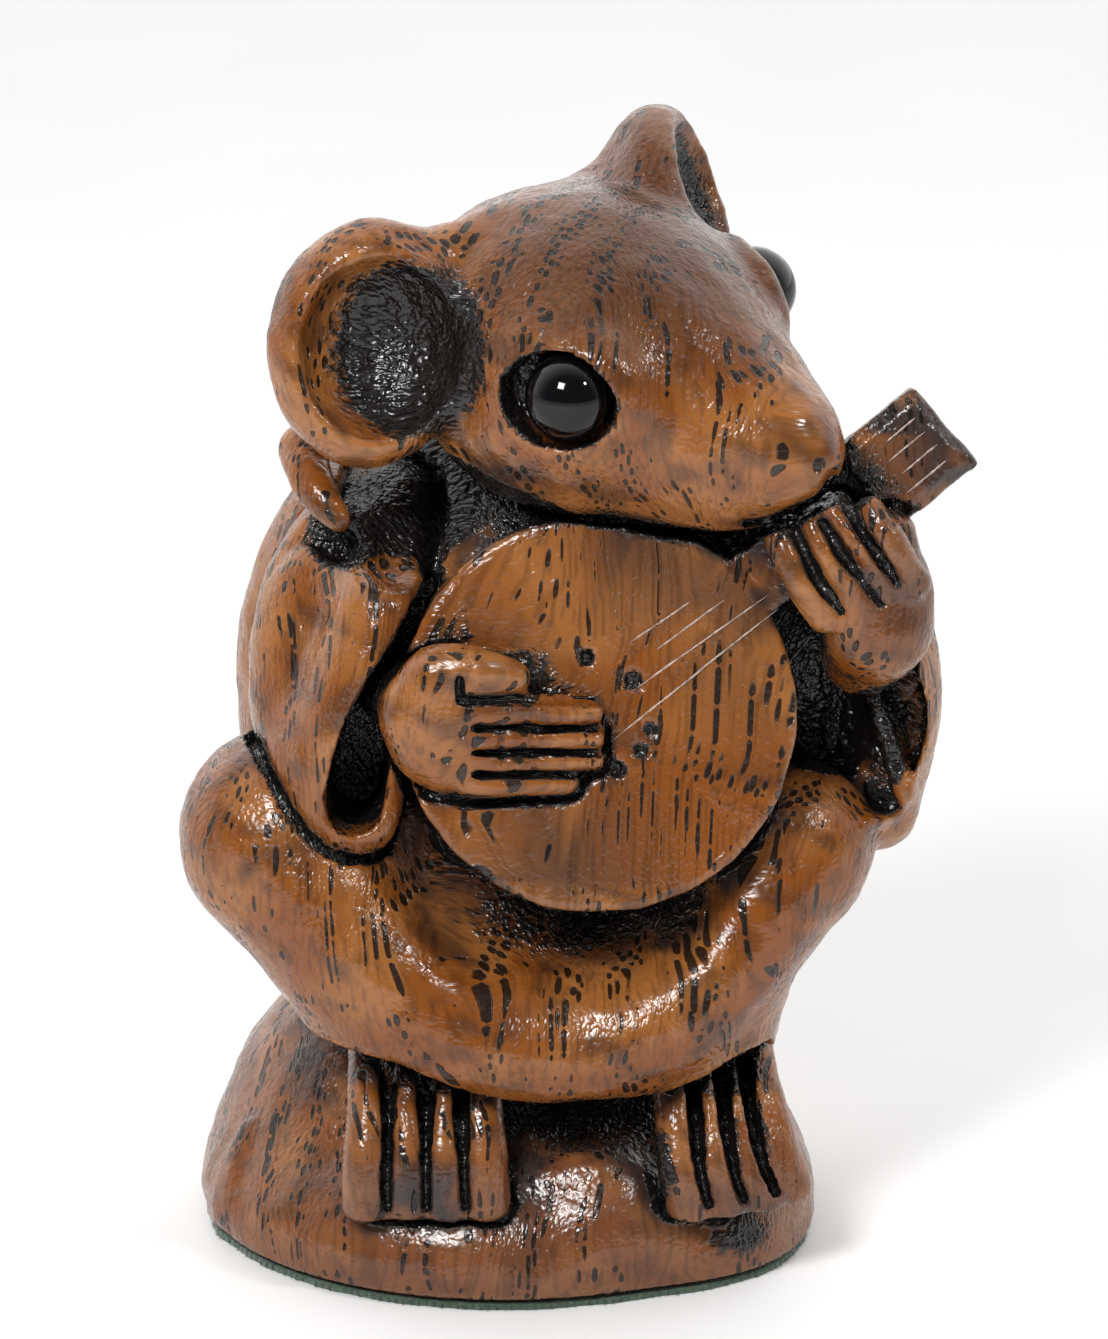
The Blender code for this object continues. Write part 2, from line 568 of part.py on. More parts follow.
def footprint(sides):
    """The felt's outline: the rock's edge just above its underside, set in a little."""
    turns = np.linspace(0, 2 * math.pi, sides, endpoint=False)
    rays = np.stack([np.cos(turns), np.sin(turns), np.zeros(sides)], axis=1)
    steps = np.arange(10, 30, 0.1)
    centre = np.array([0, 0, WOOD_BOTTOM + 0.4])
    edge = Clay((centre + rays[:, None] * steps[:, None]).reshape(-1, 3), 0.1)
    rock(edge)
    inside = edge.value.reshape(sides, len(steps)) < 0
    radii = steps[inside.sum(axis=1) - 1] - FELT_INSET
    return rays * radii[:, None]


def shiny(name, colour, roughness):
    material = bpy.data.materials.new(name)
    material.use_nodes = True
    shader = material.node_tree.nodes["Principled BSDF"]
    shader.inputs["Base Color"].default_value = (*colour, 1)
    shader.inputs["Roughness"].default_value = roughness
    return material


def placed(name, mesh, material):
    mesh.materials.append(material)
    piece = bpy.data.objects.new(name, mesh)
    bpy.context.scene.collection.objects.link(piece)
    return piece


def carving(material):
    """The carving's mesh, thinned to a set number of triangles."""
    points, quads = surface(VOXEL)
    mesh = bpy.data.meshes.new("carving")
    mesh.from_pydata((points * MM).tolist(), [], quads.tolist())
    piece = placed("carving", mesh, material)
    thin = piece.modifiers.new("thin", "DECIMATE")
    thin.ratio = CARVING_TRIANGLES / (2 * len(quads))
    graph = bpy.context.evaluated_depsgraph_get()
    thinned = bpy.data.meshes.new_from_object(piece.evaluated_get(graph))
    piece.modifiers.clear()
    piece.data = thinned
    thinned.name = "carving"
    bpy.data.meshes.remove(mesh)


def eyes(material):
    for name, place in EYE_PLACES.items():
        ball = bmesh.new()
        bmesh.ops.create_icosphere(ball, subdivisions=3, radius=EYE_DIAMETER / 2 * MM)
        bmesh.ops.translate(ball, verts=ball.verts, vec=(in_head(*place) * MM).tolist())
        mesh = bpy.data.meshes.new(name)
        ball.to_mesh(mesh)
        ball.free()
        placed(name, mesh, material)


def felt_pad(material):
    """A flat pad under the rock, resting on the ground."""
    outline = footprint(FELT_SIDES)
    sides = len(outline)
    top = outline + [0, 0, FELT_THICKNESS]
    mesh = bpy.data.meshes.new("felt_pad")
    around = [[i, (i + 1) % sides, sides + (i + 1) % sides, sides + i] for i in range(sides)]
    faces = [list(range(sides))[::-1], list(range(sides, 2 * sides)), *around]
    mesh.from_pydata((np.vstack([outline, top]) * MM).tolist(), [], faces)
    placed("felt_pad", mesh, material)


def main():
    for leftover in list(bpy.data.objects):
        bpy.data.objects.remove(leftover)
    carving(shiny("carved_wood", (0.30, 0.12, 0.04), 0.4))
    eyes(shiny("black_glass", (0.01, 0.01, 0.01), 0.05))
    felt_pad(shiny("green_felt", (0.03, 0.09, 0.05), 0.9))


if __name__ == "__main__":
    main()
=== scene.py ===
"""The carved mouse and its lute, dressed: fine carving, stain, painted shade and pores, glass eyes and felt.

Sizes are in millimetres. The carving's places and sizes are in parts, as in the model's own source.
"""

import math

import bmesh
import bpy
import numpy as np
import openvdb
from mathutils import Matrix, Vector


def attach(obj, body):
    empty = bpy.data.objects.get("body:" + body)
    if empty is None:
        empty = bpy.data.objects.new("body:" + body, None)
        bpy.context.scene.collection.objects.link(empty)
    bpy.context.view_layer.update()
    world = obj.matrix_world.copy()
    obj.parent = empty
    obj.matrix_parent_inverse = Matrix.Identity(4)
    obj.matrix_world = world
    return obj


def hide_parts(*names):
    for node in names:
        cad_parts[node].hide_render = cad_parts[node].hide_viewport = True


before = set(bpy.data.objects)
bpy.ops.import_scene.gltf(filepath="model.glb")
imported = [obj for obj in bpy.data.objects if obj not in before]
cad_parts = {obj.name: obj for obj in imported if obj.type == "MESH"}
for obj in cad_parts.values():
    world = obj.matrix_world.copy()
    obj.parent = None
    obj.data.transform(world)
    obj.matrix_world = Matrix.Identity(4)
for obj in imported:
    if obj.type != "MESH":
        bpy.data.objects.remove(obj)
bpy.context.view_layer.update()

MM = 0.001
CARVING_HEIGHT = 75.0
FELT_THICKNESS = 0.5
FELT_INSET = 0.3
SEAT_GAP = 0.3
EYE_DIAMETER = 5.6
EYE_GAP = 0.3
HEIGHT_PARTS = 75.0
PART = CARVING_HEIGHT / HEIGHT_PARTS
UNDERSIDE = -1.0
WOOD_BOTTOM = FELT_THICKNESS + SEAT_GAP
BLOCK = 8
FAR = 1000.0
VOXEL = 0.3
CARVING_TRIANGLES = 192000
RING = 3.7

# The dots in the lute's face: across, up, the hole's radius and its stain's.
DOTS = ((8.4, 41.0, 0.6, 0.7), (9.5, 38.0, 0.42, 0.5), (8.9, 36.65, 0.48, 0.55),
        (7.4, 35.5, 0.6, 0.7), (5.4, 42.4, 0.5, 0.6))
VIEW_DISTANCE = 450.0
VIEW_RISE = 20.0
VIEW_WIDTH = 89.27
SENSOR = 36.0

# The wood's own colours, and the grey-brown that is painted as shade.
HONEY = (0.300, 0.110, 0.026)
ORANGE = (0.215, 0.062, 0.008)
BROWN = (0.085, 0.029, 0.010)
RUSSET = (0.165, 0.062, 0.030)
SHADE_GREY = (0.045, 0.027, 0.022)
WORN = (0.450, 0.215, 0.090)


def at(x, y, z):
    """A place in the carving, from parts to millimetres in the part's frame."""
    return np.array([x * PART, y * PART, (z - UNDERSIDE) * PART + WOOD_BOTTOM])


def axes_of(forward, up):
    """Three unit rows: along forward, across it, and up square to it."""
    along = np.array(forward, float)
    along /= np.linalg.norm(along)
    across = np.cross(np.array(up, float), along)
    across /= np.linalg.norm(across)
    return np.array([along, across, np.cross(along, across)])


UPRIGHT = axes_of((1, 0, 0), (0, 0, 1))


def unit(way):
    return np.array(way, float) / np.linalg.norm(way)


class Form:
    """A solid given by its signed distance in millimetres and the box that holds it."""

    def __init__(self, distance, low, high):
        self.distance = distance
        self.low = np.array(low)
        self.high = np.array(high)


def ellipsoid(centre, radii, axes=UPRIGHT):
    radii = np.array(radii, float) * PART

    def distance(points):
        local = (points - centre) @ axes.T
        near = np.linalg.norm(local / radii, axis=1)
        steep = np.linalg.norm(local / radii**2, axis=1)
        return near * (near - 1) / np.maximum(steep, 1e-6)

    reach = np.linalg.norm(axes * radii[:, None], axis=0)
    return Form(distance, centre - reach, centre + reach)


def slab(centre, half_sizes, axes, rounding):
    """A box with rounded edges, its half sizes given along the rows of axes."""
    rounding = rounding * PART
    core = np.array(half_sizes, float) * PART - rounding

    def distance(points):
        beyond = np.abs((points - centre) @ axes.T) - core
        outside = np.linalg.norm(np.maximum(beyond, 0), axis=1)
        return outside + np.minimum(beyond.max(axis=1), 0) - rounding

    reach = np.abs(axes * (core + rounding)[:, None]).sum(axis=0)
    return Form(distance, centre - reach, centre + reach)


def puck(centre, radius, half_thickness, axis, rounding):
    """A round plate whose faces look along axis."""
    radius, half_thickness, rounding = (x * PART for x in (radius, half_thickness, rounding))

    def distance(points):
        local = points - centre
        height = local @ axis
        ring = np.sqrt(np.maximum((local**2).sum(axis=1) - height**2, 0))
        side = ring - radius + rounding
        face = np.abs(height) - half_thickness + rounding
        outside = np.hypot(np.maximum(side, 0), np.maximum(face, 0))
        return outside + np.minimum(np.maximum(side, face), 0) - rounding

    reach = radius + half_thickness
    return Form(distance, centre - reach, centre + reach)


def smooth_line(points, steps=6):
    """The points of a Catmull-Rom curve through the given ones."""
    points = np.array(points, float)
    if len(points) == 2:
        return points
    padded = np.vstack([2 * points[0] - points[1], points, 2 * points[-1] - points[-2]])
    curve = []
    for p0, p1, p2, p3 in zip(padded, padded[1:], padded[2:], padded[3:]):
        for t in np.arange(steps) / steps:
            curve.append(
                0.5 * (2 * p1 + (p2 - p0) * t + (2 * p0 - 5 * p1 + 4 * p2 - p3) * t**2
                       + (3 * p1 - p0 - 3 * p2 + p3) * t**3)
            )
    return np.array([*curve, points[-1]])


def spread(radii, count):
    """Radii given at a curve's own points, at as many points as its line has."""
    return np.interp(np.linspace(0, len(radii) - 1, count), np.arange(len(radii)), radii)


def limb(points, radii, steps=6):
    """A rounded rod along a curve, its radius given at each of the curve's own points."""
    line = smooth_line(points, steps)
    sizes = spread(radii, len(line)) * PART

    def distance(places):
        nearest = np.full(len(places), FAR)
        for start, end, r_start, r_end in zip(line, line[1:], sizes, sizes[1:]):
            span = end - start
            share = np.clip((places - start) @ span / (span @ span), 0, 1)
            gap = np.linalg.norm(places - start - share[:, None] * span, axis=1)
            nearest = np.minimum(nearest, gap - r_start - share * (r_end - r_start))
        return nearest

    reach = sizes.max()
    return Form(distance, line.min(axis=0) - reach, line.max(axis=0) + reach)


def swept(points, radii, along, half_depth, steps=6):
    """A curved slot of the given radii, run through the form both ways along a direction."""
    along = unit(along)
    line = smooth_line(points, steps)
    middle = line.mean(axis=0) @ along
    flat_line = line - np.outer(line @ along, along)
    sizes = spread(radii, len(line))
    across = limb(flat_line, sizes, 1)

    def distance(places):
        depth = places @ along
        flat = places - np.outer(depth, along)
        return np.maximum(across.distance(flat), np.abs(depth - middle) - half_depth * PART)

    reach = max(radii) * PART + half_depth * PART
    return Form(distance, line.min(axis=0) - reach, line.max(axis=0) + reach)


def groove(points, radii, along, stretch, steps=6):
    """A gouge drawn along a curve, stretch times as deep as its radius."""
    along = unit(along)
    squash = np.eye(3) - (1 - 1 / stretch) * np.outer(along, along)
    line = smooth_line(points, steps)
    sizes = spread(radii, len(line))
    across = limb(line @ squash, sizes, 1)
    reach = max(radii) * PART * stretch
    low, high = line.min(axis=0) - reach, line.max(axis=0) + reach
    return Form(lambda places: across.distance(places @ squash), low, high)


def fillet(old, new, blend):
    """How far two surfaces are drawn together where they meet."""
    reach = blend * PART
    overlap = np.maximum(reach - np.abs(old - new), 0) / reach
    return overlap**2 * reach / 4


class Clay:
    """The carving's distance at a set of points, built up form by form."""

    def __init__(self, points, slack):
        self.points = points
        self.slack = slack
        self.value = np.full(len(points), FAR)

    def fresh(self):
        return Clay(self.points, self.slack)

    def near(self, form, blend):
        margin = blend * PART + self.slack
        inside = (self.points > form.low - margin) & (self.points < form.high + margin)
        return np.flatnonzero(inside.all(axis=1))

    def add(self, form, blend=0.4):
        """Joins a form, with a fillet about blend parts wide."""
        near = self.near(form, blend)
        old, new = self.value[near], form.distance(self.points[near])
        self.value[near] = np.minimum(old, new) - fillet(old, new, blend)

    def cut(self, form, blend=0.4):
        """Takes a form away, with its rim rounded about blend parts wide."""
        near = self.near(form, blend)
        old, new = self.value[near], -form.distance(self.points[near])
        self.value[near] = np.maximum(old, new) + fillet(old, new, blend)

    def lump(self, centre, radii, blend):
        """Joins an ellipsoid, its centre given in parts."""
        self.add(ellipsoid(at(*centre), radii), blend)

    def rod(self, points, radii, blend):
        """Joins a limb, its points given in parts."""
        self.add(limb([at(*point) for point in points], radii), blend)

    def add_clay(self, other, blend=0.4):
        """Joins another piece of clay that is known at the same points."""
        old, new = self.value, other.value
        self.value = np.minimum(old, new) - fillet(old, new, blend)

    def set_in(self, other, width, depth, blend=0.3):
        """Joins another piece of clay, with a groove sunk round it."""
        groove = np.minimum(width * PART - other.value, self.value + depth * PART)
        self.value = np.maximum(self.value, groove)
        self.add_clay(other, blend)

    def crease(self, line, width, depth, along):
        """Sinks the surface beside a line drawn on it, as seen along a way; a negative depth raises it."""
        along = unit(along)
        width, depth = width * PART, depth * PART
        line = smooth_line(line)
        reach = 6 * PART
        near = self.near(Form(None, line.min(axis=0) - reach, line.max(axis=0) + reach), 0)
        places = self.points[near]
        nearest = np.full(len(places), FAR)
        for start, end in zip(line, line[1:]):
            span = end - start
            flat_span = span - (span @ along) * along
            rel = places - start
            depth_here = rel @ along
            flat = rel - depth_here[:, None] * along
            share = np.clip(flat @ flat_span / (flat_span @ flat_span), 0, 1)
            gap = np.linalg.norm(flat - share[:, None] * flat_span, axis=1)
            off = np.abs(depth_here - share * (span @ along))
            nearest = np.minimum(nearest, gap + np.maximum(off - reach / 2, 0))
        fall = np.clip(1 - nearest / width, 0, 1)
        self.value[near] += depth * fall * fall * (3 - 2 * fall)


HEAD = at(2.5, 0.0, 58.0)
HEAD_AXES = axes_of((0.77, -0.63, -0.09), (-0.03, -0.13, 0.99))
EYE_PLACES = {"eye_left": (10.1, -9.5, 4.4), "eye_right": (10.6, 9.0, 5.3)}
LUTE_FACE = np.array([0.0, -0.961, 0.276])
LUTE_NECK = np.array([0.768, 0.177, 0.615])
LUTE_CENTRE = at(6.1, -14.5, 38.9)
LUTE_RADIUS = 12.9
LUTE_AXES = axes_of(LUTE_NECK, LUTE_FACE)
INWARD = np.array([0.0, 0.94, -0.342])
LEFT_EAR = axes_of((-0.1, -0.94, 0.3), (0, 0.2, 1))
RIGHT_EAR = axes_of((0.94, -0.12, 0.34), (-0.3, 0.1, 1))
LEFT_CUP = at(-8.7, -8.0, 61.8) + np.array([3.4, 1.3, -0.3]) @ LEFT_EAR * PART
RIGHT_CUP = at(11.4, 5, 67.4) + np.array([3.2, 0, 0]) @ RIGHT_EAR * PART


def in_head(forward, across, up):
    """A place in the head's own directions."""
    return HEAD + np.array([forward, across, up]) * PART @ HEAD_AXES


def on_face(x, z):
    """A place on the lute's face."""
    flat = at(x, 0, z)
    flat[1] = LUTE_CENTRE[1] + (flat[0] - LUTE_CENTRE[0]) * LUTE_FACE[0]
    flat[1] += (flat[2] - LUTE_CENTRE[2]) * LUTE_FACE[2] / -LUTE_FACE[1]
    return flat


def robe(clay):
    clay.lump((1, 5, 32), (19.0, 11, 24), 3)
    clay.lump((-3.6, 6, 36), (13.9, 9.5, 16.5), 2)
    clay.lump((4, 0, 38), (14, 10.5, 14), 3)
    clay.rod([(8, -4, 49), (15, -5, 48), (21, -5, 43)], [6, 5, 4.5], 2)
    clay.lump((-1.5, 6, 20), (16.8, 9.5, 10), 4)
    for x, depth in ((-13, 0.5), (-8, 0.8), (-2.5, 0.6), (3, 0.8), (9, 0.6)):
        fold = [at(x * 0.7, 9, 48), at(x, 14, 38), at(x * 1.05, 14, 26), at(x * 1.1, 13, 14)]
        clay.crease(fold, 2.4, depth, (0, 1, 0))


def right_sleeve(clay):
    """The sleeve behind the far knee, open to the front, with its wall on the outer side."""
    clay.lump((23.2, -4, 36.5), (5.4, 8.5, 10), 1.5)
    clay.rod([(24, -4, 43), (25.6, -5, 37), (24.9, -5, 28.6)], [3.4, 3.2, 2.6], 1)
    clay.cut(ellipsoid(at(20.8, -10.5, 37), (5.8, 9.0, 8.5)), 0.4)
    mouth = [at(24.4, -9, 41), at(25.6, -9, 36), at(24.9, -9, 31)]
    clay.cut(swept(mouth, [2.2, 2.0, 1.4], (0.1, 1, -0.2), 4.4), 0.5)
    clay.rod([(23.6, -5.0, 40), (24.6, -6.6, 36.5), (26.4, -8.0, 31)], [0.9, 0.7, 0.8], 0.6)


def gown(clay):
    """The cloth over the crossed knees, with its lap and the fold that runs from knee to knee."""
    knees = clay.fresh()
    knees.rod([(-4, 2, 24), (-11, -4, 27), (-14.5, -7, 28.2)], [8, 8, 6.6], 3)
    knees.rod([(9, 2, 22), (15, -4, 25.3), (19.1, -7, 27.4)], [8, 6.8, 5.3], 3)
    knees.rod([(-14, -8, 27), (-9, -10.5, 20), (-5, -10.5, 14)], [6.4, 5.8, 5.6], 3)
    knees.rod([(17.6, -8, 26), (14.0, -9.5, 20), (12.4, -10, 13)], [5.3, 5.4, 5.2], 3)
    knees.lump((4, -7, 18), (12, 9.5, 8.5), 4)
    ridge = [at(-12, -12.5, 25), at(-6, -14.5, 19), at(3, -15.5, 15.5), at(11, -15, 18), at(17, -12, 24)]
    knees.add(limb(ridge, [3, 3, 3, 3, 3]), 3)
    knees.cut(ellipsoid(at(4.5, -15, 27), (8.5, 6, 6)), 3)
    clay.add_clay(knees, 0.5)


def left_sleeve(clay):
    """The sleeve in front, hanging to the knee, its cuff a tall slot with an upturned lip."""
    sleeve = clay.fresh()
    arm = [at(-7.5, 0, 46.5), at(-11, -3, 43), at(-12, -5.5, 37), at(-11, -8.5, 32)]
    sleeve.add(limb(arm, [5, 5, 4.8, 4]), 2)
    sleeve.rod([(-9, -4, 45.5), (-8, -9.5, 44.3)], [4, 2.8], 2)
    lean = axes_of((0.3, 0, 0.95), (0, -1, 0))
    sleeve.add(ellipsoid(at(-9.9, -9.2, 37.2), (10.6, 3.9, 5.4), lean), 1.5)
    sleeve.rod([(-11, -9.5, 34), (-10.2, -11.8, 30.6)], [3.8, 2.4], 1.5)
    lip = [at(-10.2, -11.5, 30), at(-8.2, -12.4, 30.4), at(-7.2, -11.8, 33.8)]
    sleeve.add(limb(lip, [1.7, 1.3, 0.9]), 0.8)
    slot = [at(x, -12, z) for x, z in
            ((-4.9, 45.2), (-6.5, 42), (-8.0, 39), (-9.0, 36), (-9.6, 33), (-9.7, 31.9))]
    sleeve.cut(swept(slot, [0.9, 1.2, 1.5, 1.8, 1.9, 1.8], (0, 1, -0.1), 5), 0.35)
    clay.set_in(sleeve, 0.7, 0.9, 0.3)
    clay.cut(swept(slot, [0.6, 1.0, 1.3, 1.6, 1.75, 1.65], (0, 1, -0.1), 6.8), 0.3)
    shoulder = [at(-15.8, -6, 46.4), at(-13.4, -6, 48.9), at(-10.6, -8, 48.2)]
    clay.cut(swept(shoulder, [0.3, 0.9, 1.1], INWARD, 2.6), 1.4)
    clay.cut(ellipsoid(at(-6.2, -10.5, 49.8), (4.7, 6.0, 3.7)), 0.6)


def collar(clay):
    """A roll of cloth round the neck, open at the throat."""
    line = [at(-12.0, -4.0, 50.6), at(-11.6, 0, 50.8), at(-10, 4, 50.8), at(-3, 10, 51.6), at(5, 11, 51.6),
            at(12, 6, 50), at(15, -1, 48)]
    clay.add(limb(line, [1.5, 1.7, 1.8, 1.9, 1.9, 1.8, 1.4]), 0.8)
    flap = [at(-13.0, -4.5, 53.6), at(-12.6, -6.8, 52.5), at(-11.6, -8.4, 51.4), at(-10.6, -9.3, 50.5)]
    clay.add(limb(flap, [1.7, 1.5, 1.25, 0.9]), 0.5)


def hem(clay):
    """Cuts the cloth off above the feet, along a line that dips in the middle, and hollows it there."""
    across = [-22, -10, -7, -2.3, 2.5, 7.2, 11, 13.9, 16.7, 18.5, 24]
    heights = [16.0, 15.6, 15.1, 13.1, 11.7, 11.8, 12.9, 14.1, 14.3, 13.4, 12.0]
    lifted = [(height - UNDERSIDE) * PART + WOOD_BOTTOM for height in heights]

    def distance(points):
        return points[:, 2] - np.interp(points[:, 0] / PART, across, lifted)

    clay.cut(Form(distance, at(-40, -40, -10), at(50, 40, 20)), 0.35)
    for centre, radii in ((at(-5.3, -12.9, 13.8), (4.9, 3.2, 2.6)), (at(14.4, -12.2, 13.2), (4.2, 3.0, 2.5)),
                          (at(4.1, -12.6, 12.3), (7.4, 3.2, 2.3))):
        clay.cut(ellipsoid(centre, radii), 0.3)


def rock(clay):
    stone = clay.fresh()
    stone.lump((0, -1, 0.3), (20.7, 17.6, 9.0), 1)
    stone.lump((-8, 3, 4.5), (10.5, 12, 9.5), 4)
    stone.lump((9.5, 1, 3.0), (8.5, 11, 8), 4)
    stone.lump((11.5, -6, -0.5), (8.8, 9, 7.5), 3)
    stone.lump((6.5, -12, 2.6), (5, 5.2, 4.6), 2)
    stone.cut(ellipsoid(at(4.6, -15.2, 9.9), (4.6, 4.6, 3.0)), 0.6)
    stone.rod([(2.6, -13.6, 5.4), (6.2, -13.8, 6.2), (8.8, -13.6, 5.2)], [1.2, 1.5, 1.1], 1.2)
    stone.crease([at(-17.6, -8, 7.5), at(-18.8, -8, 3.5), at(-19.6, -7, 0)], 1.4, -0.35, INWARD)
    clay.add_clay(stone, 0.4)


def tail(clay):
    """The tail, low on the back of the rock, from under the robe round to the far side."""
    line = [at(-6, 11, 12), at(-3, 14.2, 8.6), at(3, 15.4, 5.6), at(10, 13.2, 3.8), at(15.5, 8.8, 3.0),
            at(17.5, 4.5, 3.4)]
    clay.add(limb(line, [1.9, 1.8, 1.6, 1.4, 1.1, 0.7]), 0.6)


def foot(clay, toes, sole):
    """Four long flat toes, parted by grooves that narrow towards the rock and ended by a step."""
    paw = clay.fresh()
    for line in toes:
        paw.add(limb(line, [1.4, 1.5, 1.75, 1.7]), 0.7)
    for one, other in zip(toes, toes[1:]):
        middle = [(p + q) / 2 for p, q in zip(one, other)]
        between = [spot + np.array([0, -out, 0.3]) * PART for spot, out in zip(middle, (0.6, 1.0, 1.5, 1.5))]
        paw.cut(groove(between, [0.72, 0.55, 0.38, 0.32], INWARD, 3.4), 0.2)
    paw.cut(slab(sole, (12, 7, 4), UPRIGHT, 0.3), 0.15)
    clay.set_in(paw, 0.35, 0.6, 0.2)


def feet(clay):
    left = [(-8.9, -9.0), (-6.4, -6.4), (-3.9, -3.8), (-1.7, -1.2)]
    foot(clay, [[at(x, -10.0, 13.6), at(x, -13.4, 11.4), at((x + end) / 2, -15.5, 8), at(end, -16.0, 5.0)]
                for x, end in left], at(-5, -17, 0.2))
    right = [(11.2, 12.3, 0), (13.3, 14.7, 0.6), (15.1, 17.0, 1.6), (16.6, 18.9, 3)]
    foot(clay, [[at(x, -10.0 + back, 13.2), at(x + 0.3, -13.3 + back, 10.9),
                 at((x + end) / 2, -15.3 + back, 7.6), at(end, -15.6 + back, 4.9)]
                for x, end, back in right], at(16, -15, 0.0))


def lute(clay):
    front = LUTE_CENTRE
    body = clay.fresh()
    body.add(puck(front - LUTE_FACE * 2.2 * PART, LUTE_RADIUS, 2.2, LUTE_FACE, 0.35), 0.3)
    neck = front - LUTE_FACE * 1.6 * PART + LUTE_NECK * 17 * PART
    body.add(slab(neck, (8, 2.2, 1.4), LUTE_AXES, 0.4), 0.3)
    peghead = front - LUTE_FACE * 1.7 * PART + LUTE_NECK * 25.6 * PART
    body.add(slab(peghead, (3.6, 3.3, 1.5), LUTE_AXES, 0.3), 0.1)
    body.add(slab(peghead + LUTE_FACE * 0.3 * PART, (3.1, 2.7, 1.6), LUTE_AXES, 0.2), 0.1)
    for x, z, radius, _ in DOTS:
        body.cut(ellipsoid(on_face(x, z), (radius, radius, radius)), 0.15)
    clay.set_in(body, 0.8, 1.5, 0.25)


def left_hand(clay):
    """The hand over the disc: its fingers lie level, with slots between them."""
    hand = clay.fresh()
    hand.lump((-3.6, -15.2, 38.8), (4.2, 2.5, 5.0), 0.4)
    hand.rod([(-7.6, -8.5, 38.8), (-4.5, -14.4, 39)], [2.3, 3.1], 1)
    heights = (39.7, 38.0, 36.4, 34.9)
    for z, start, end in zip(heights, (-2.4, -2.4, -2.4, -2.0), (5.7, 5.9, 5.8, 4.0)):
        hand.rod([(start, -16.0, z), (end, -15.8, z)], [1.2, 1.0], 0.5)
    thumb = [at(-4.2, -15.7, 42.1), at(-1.6, -15.9, 42.4), at(0.8, -15.6, 41.9)]
    hand.add(limb(thumb, [1.8, 1.6, 1.0]), 0.8)
    hand.cut(slab(at(9.55, -16, 38), (3, 4, 6), UPRIGHT, 0.2), 0.3)
    for upper, lower in zip(heights, heights[1:]):
        level = (upper + lower) / 2
        hand.cut(groove([at(-1.8, -17.0, level), at(7.0, -16.9, level)], [0.2, 0.33], INWARD, 4.5), 0.12)
    under_thumb = [at(-2.6, -17.4, 40.9), at(0.5, -17.3, 40.95), at(6.5, -17.0, 40.9)]
    hand.cut(groove(under_thumb, [0.25, 0.4, 0.62], INWARD, 3.5), 0.15)
    for x, top, bottom in ((2.0, 40.2, 36.2), (-0.1, 38.6, 36.6), (-2.7, 42.4, 41.0)):
        hand.cut(groove([at(x, -17.3, top), at(x, -17.3, bottom)], [0.2, 0.2], INWARD, 4), 0.12)
    clay.set_in(hand, 0.6, 0.8, 0.25)


def right_hand(clay):
    """The hand on the neck: four fingers curl over it, with wide grooves between them."""
    hand = clay.fresh()
    hand.lump((24.4, -11.8, 44.9), (3.5, 3.2, 4.4), 0.6)
    hand.rod([(24, -12, 44), (23.6, -8, 41)], [3.0, 3.0], 1.5)
    hand.rod([(25.2, -11.4, 46.2), (24.9, -11.2, 50.0)], [2.6, 1.7], 0.8)
    hand.rod([(23.0, -12.2, 46.5), (20.9, -12.1, 50.8)], [2.9, 2.5], 0.8)
    fingers = (((17.5, 51.0, 0.95), (18.9, 48.4, 1.05), (20.7, 45.6, 1.4)),
               ((19.8, 51.6, 0.9), (21.0, 49.4, 0.95), (22.9, 46.8, 1.1)),
               ((21.1, 52.5, 0.85), (23.0, 50.5, 0.9), (25.0, 47.6, 1.0)),
               ((23.5, 52.6, 0.9), (25.0, 50.4, 1.0), (26.3, 47.6, 1.2)))
    for (x0, z0, r0), (x1, z1, r1), (x2, z2, r2) in fingers:
        hand.rod([(x0, -13.5, z0), (x1, -14.5, z1), (x2, -13.7, z2)], [r0, r1, r2], 0.4)
    grooves = (((18.6, 51.9), (20.0, 48.9), (21.8, 46.0)), ((20.5, 52.2), (22.0, 49.8), (24.3, 46.6)),
               ((22.0, 53.2), (24.0, 50.2), (25.4, 48.0)))
    for (x0, z0), (x1, z1), (x2, z2) in grooves:
        between = [at(x0, -15.0, z0), at(x1, -15.6, z1), at(x2, -15.1, z2)]
        hand.cut(groove(between, [0.5, 0.5, 0.25], INWARD, 3.2), 0.15)
    clay.set_in(hand, 0.6, 0.9, 0.25)


def head(clay):
    skull = clay.fresh()
    skull.add(ellipsoid(in_head(4, 0, 2.9), (11.5, 11, 10.1), HEAD_AXES), 1.2)
    skull.add(ellipsoid(in_head(0.5, -1.5, 3.4), (8.5, 8.6, 8.4), HEAD_AXES), 2)
    snout = [in_head(along, 0, up) for along, up in
             ((6, 1.2), (12, 0.7), (16, 0.0), (19.3, 0.1), (21.6, 0.2))]
    skull.add(limb(snout, [8.2, 7.9, 6.3, 4.5, 2.8]), 3)
    skull.add(limb([in_head(8.4, -6.6, 3.4), in_head(8.4, 4.2, 3.8)], [5.2, 5.0]), 3)
    skull.add(ellipsoid(in_head(5, -5, -0.4), (8, 6, 5.0), HEAD_AXES), 3)
    mouth = [at(15.4, -15, 52.3), at(17.5, -15, 52.6), at(19.0, -15, 53.1), at(20.1, -15, 53.8),
             at(21.0, -14, 54.9)]
    skull.crease(mouth, 0.6, 0.55, INWARD)
    clay.set_in(skull, 0.6, 0.9, 0.25)


def ear(clay, centre, axes, outer, inner, sink):
    """A dished ear: axes run out of the dish, across it and up it."""
    clay.add(ellipsoid(centre, outer, axes), 1.5)
    clay.cut(ellipsoid(centre + sink @ axes * PART, inner, axes), 0.8)


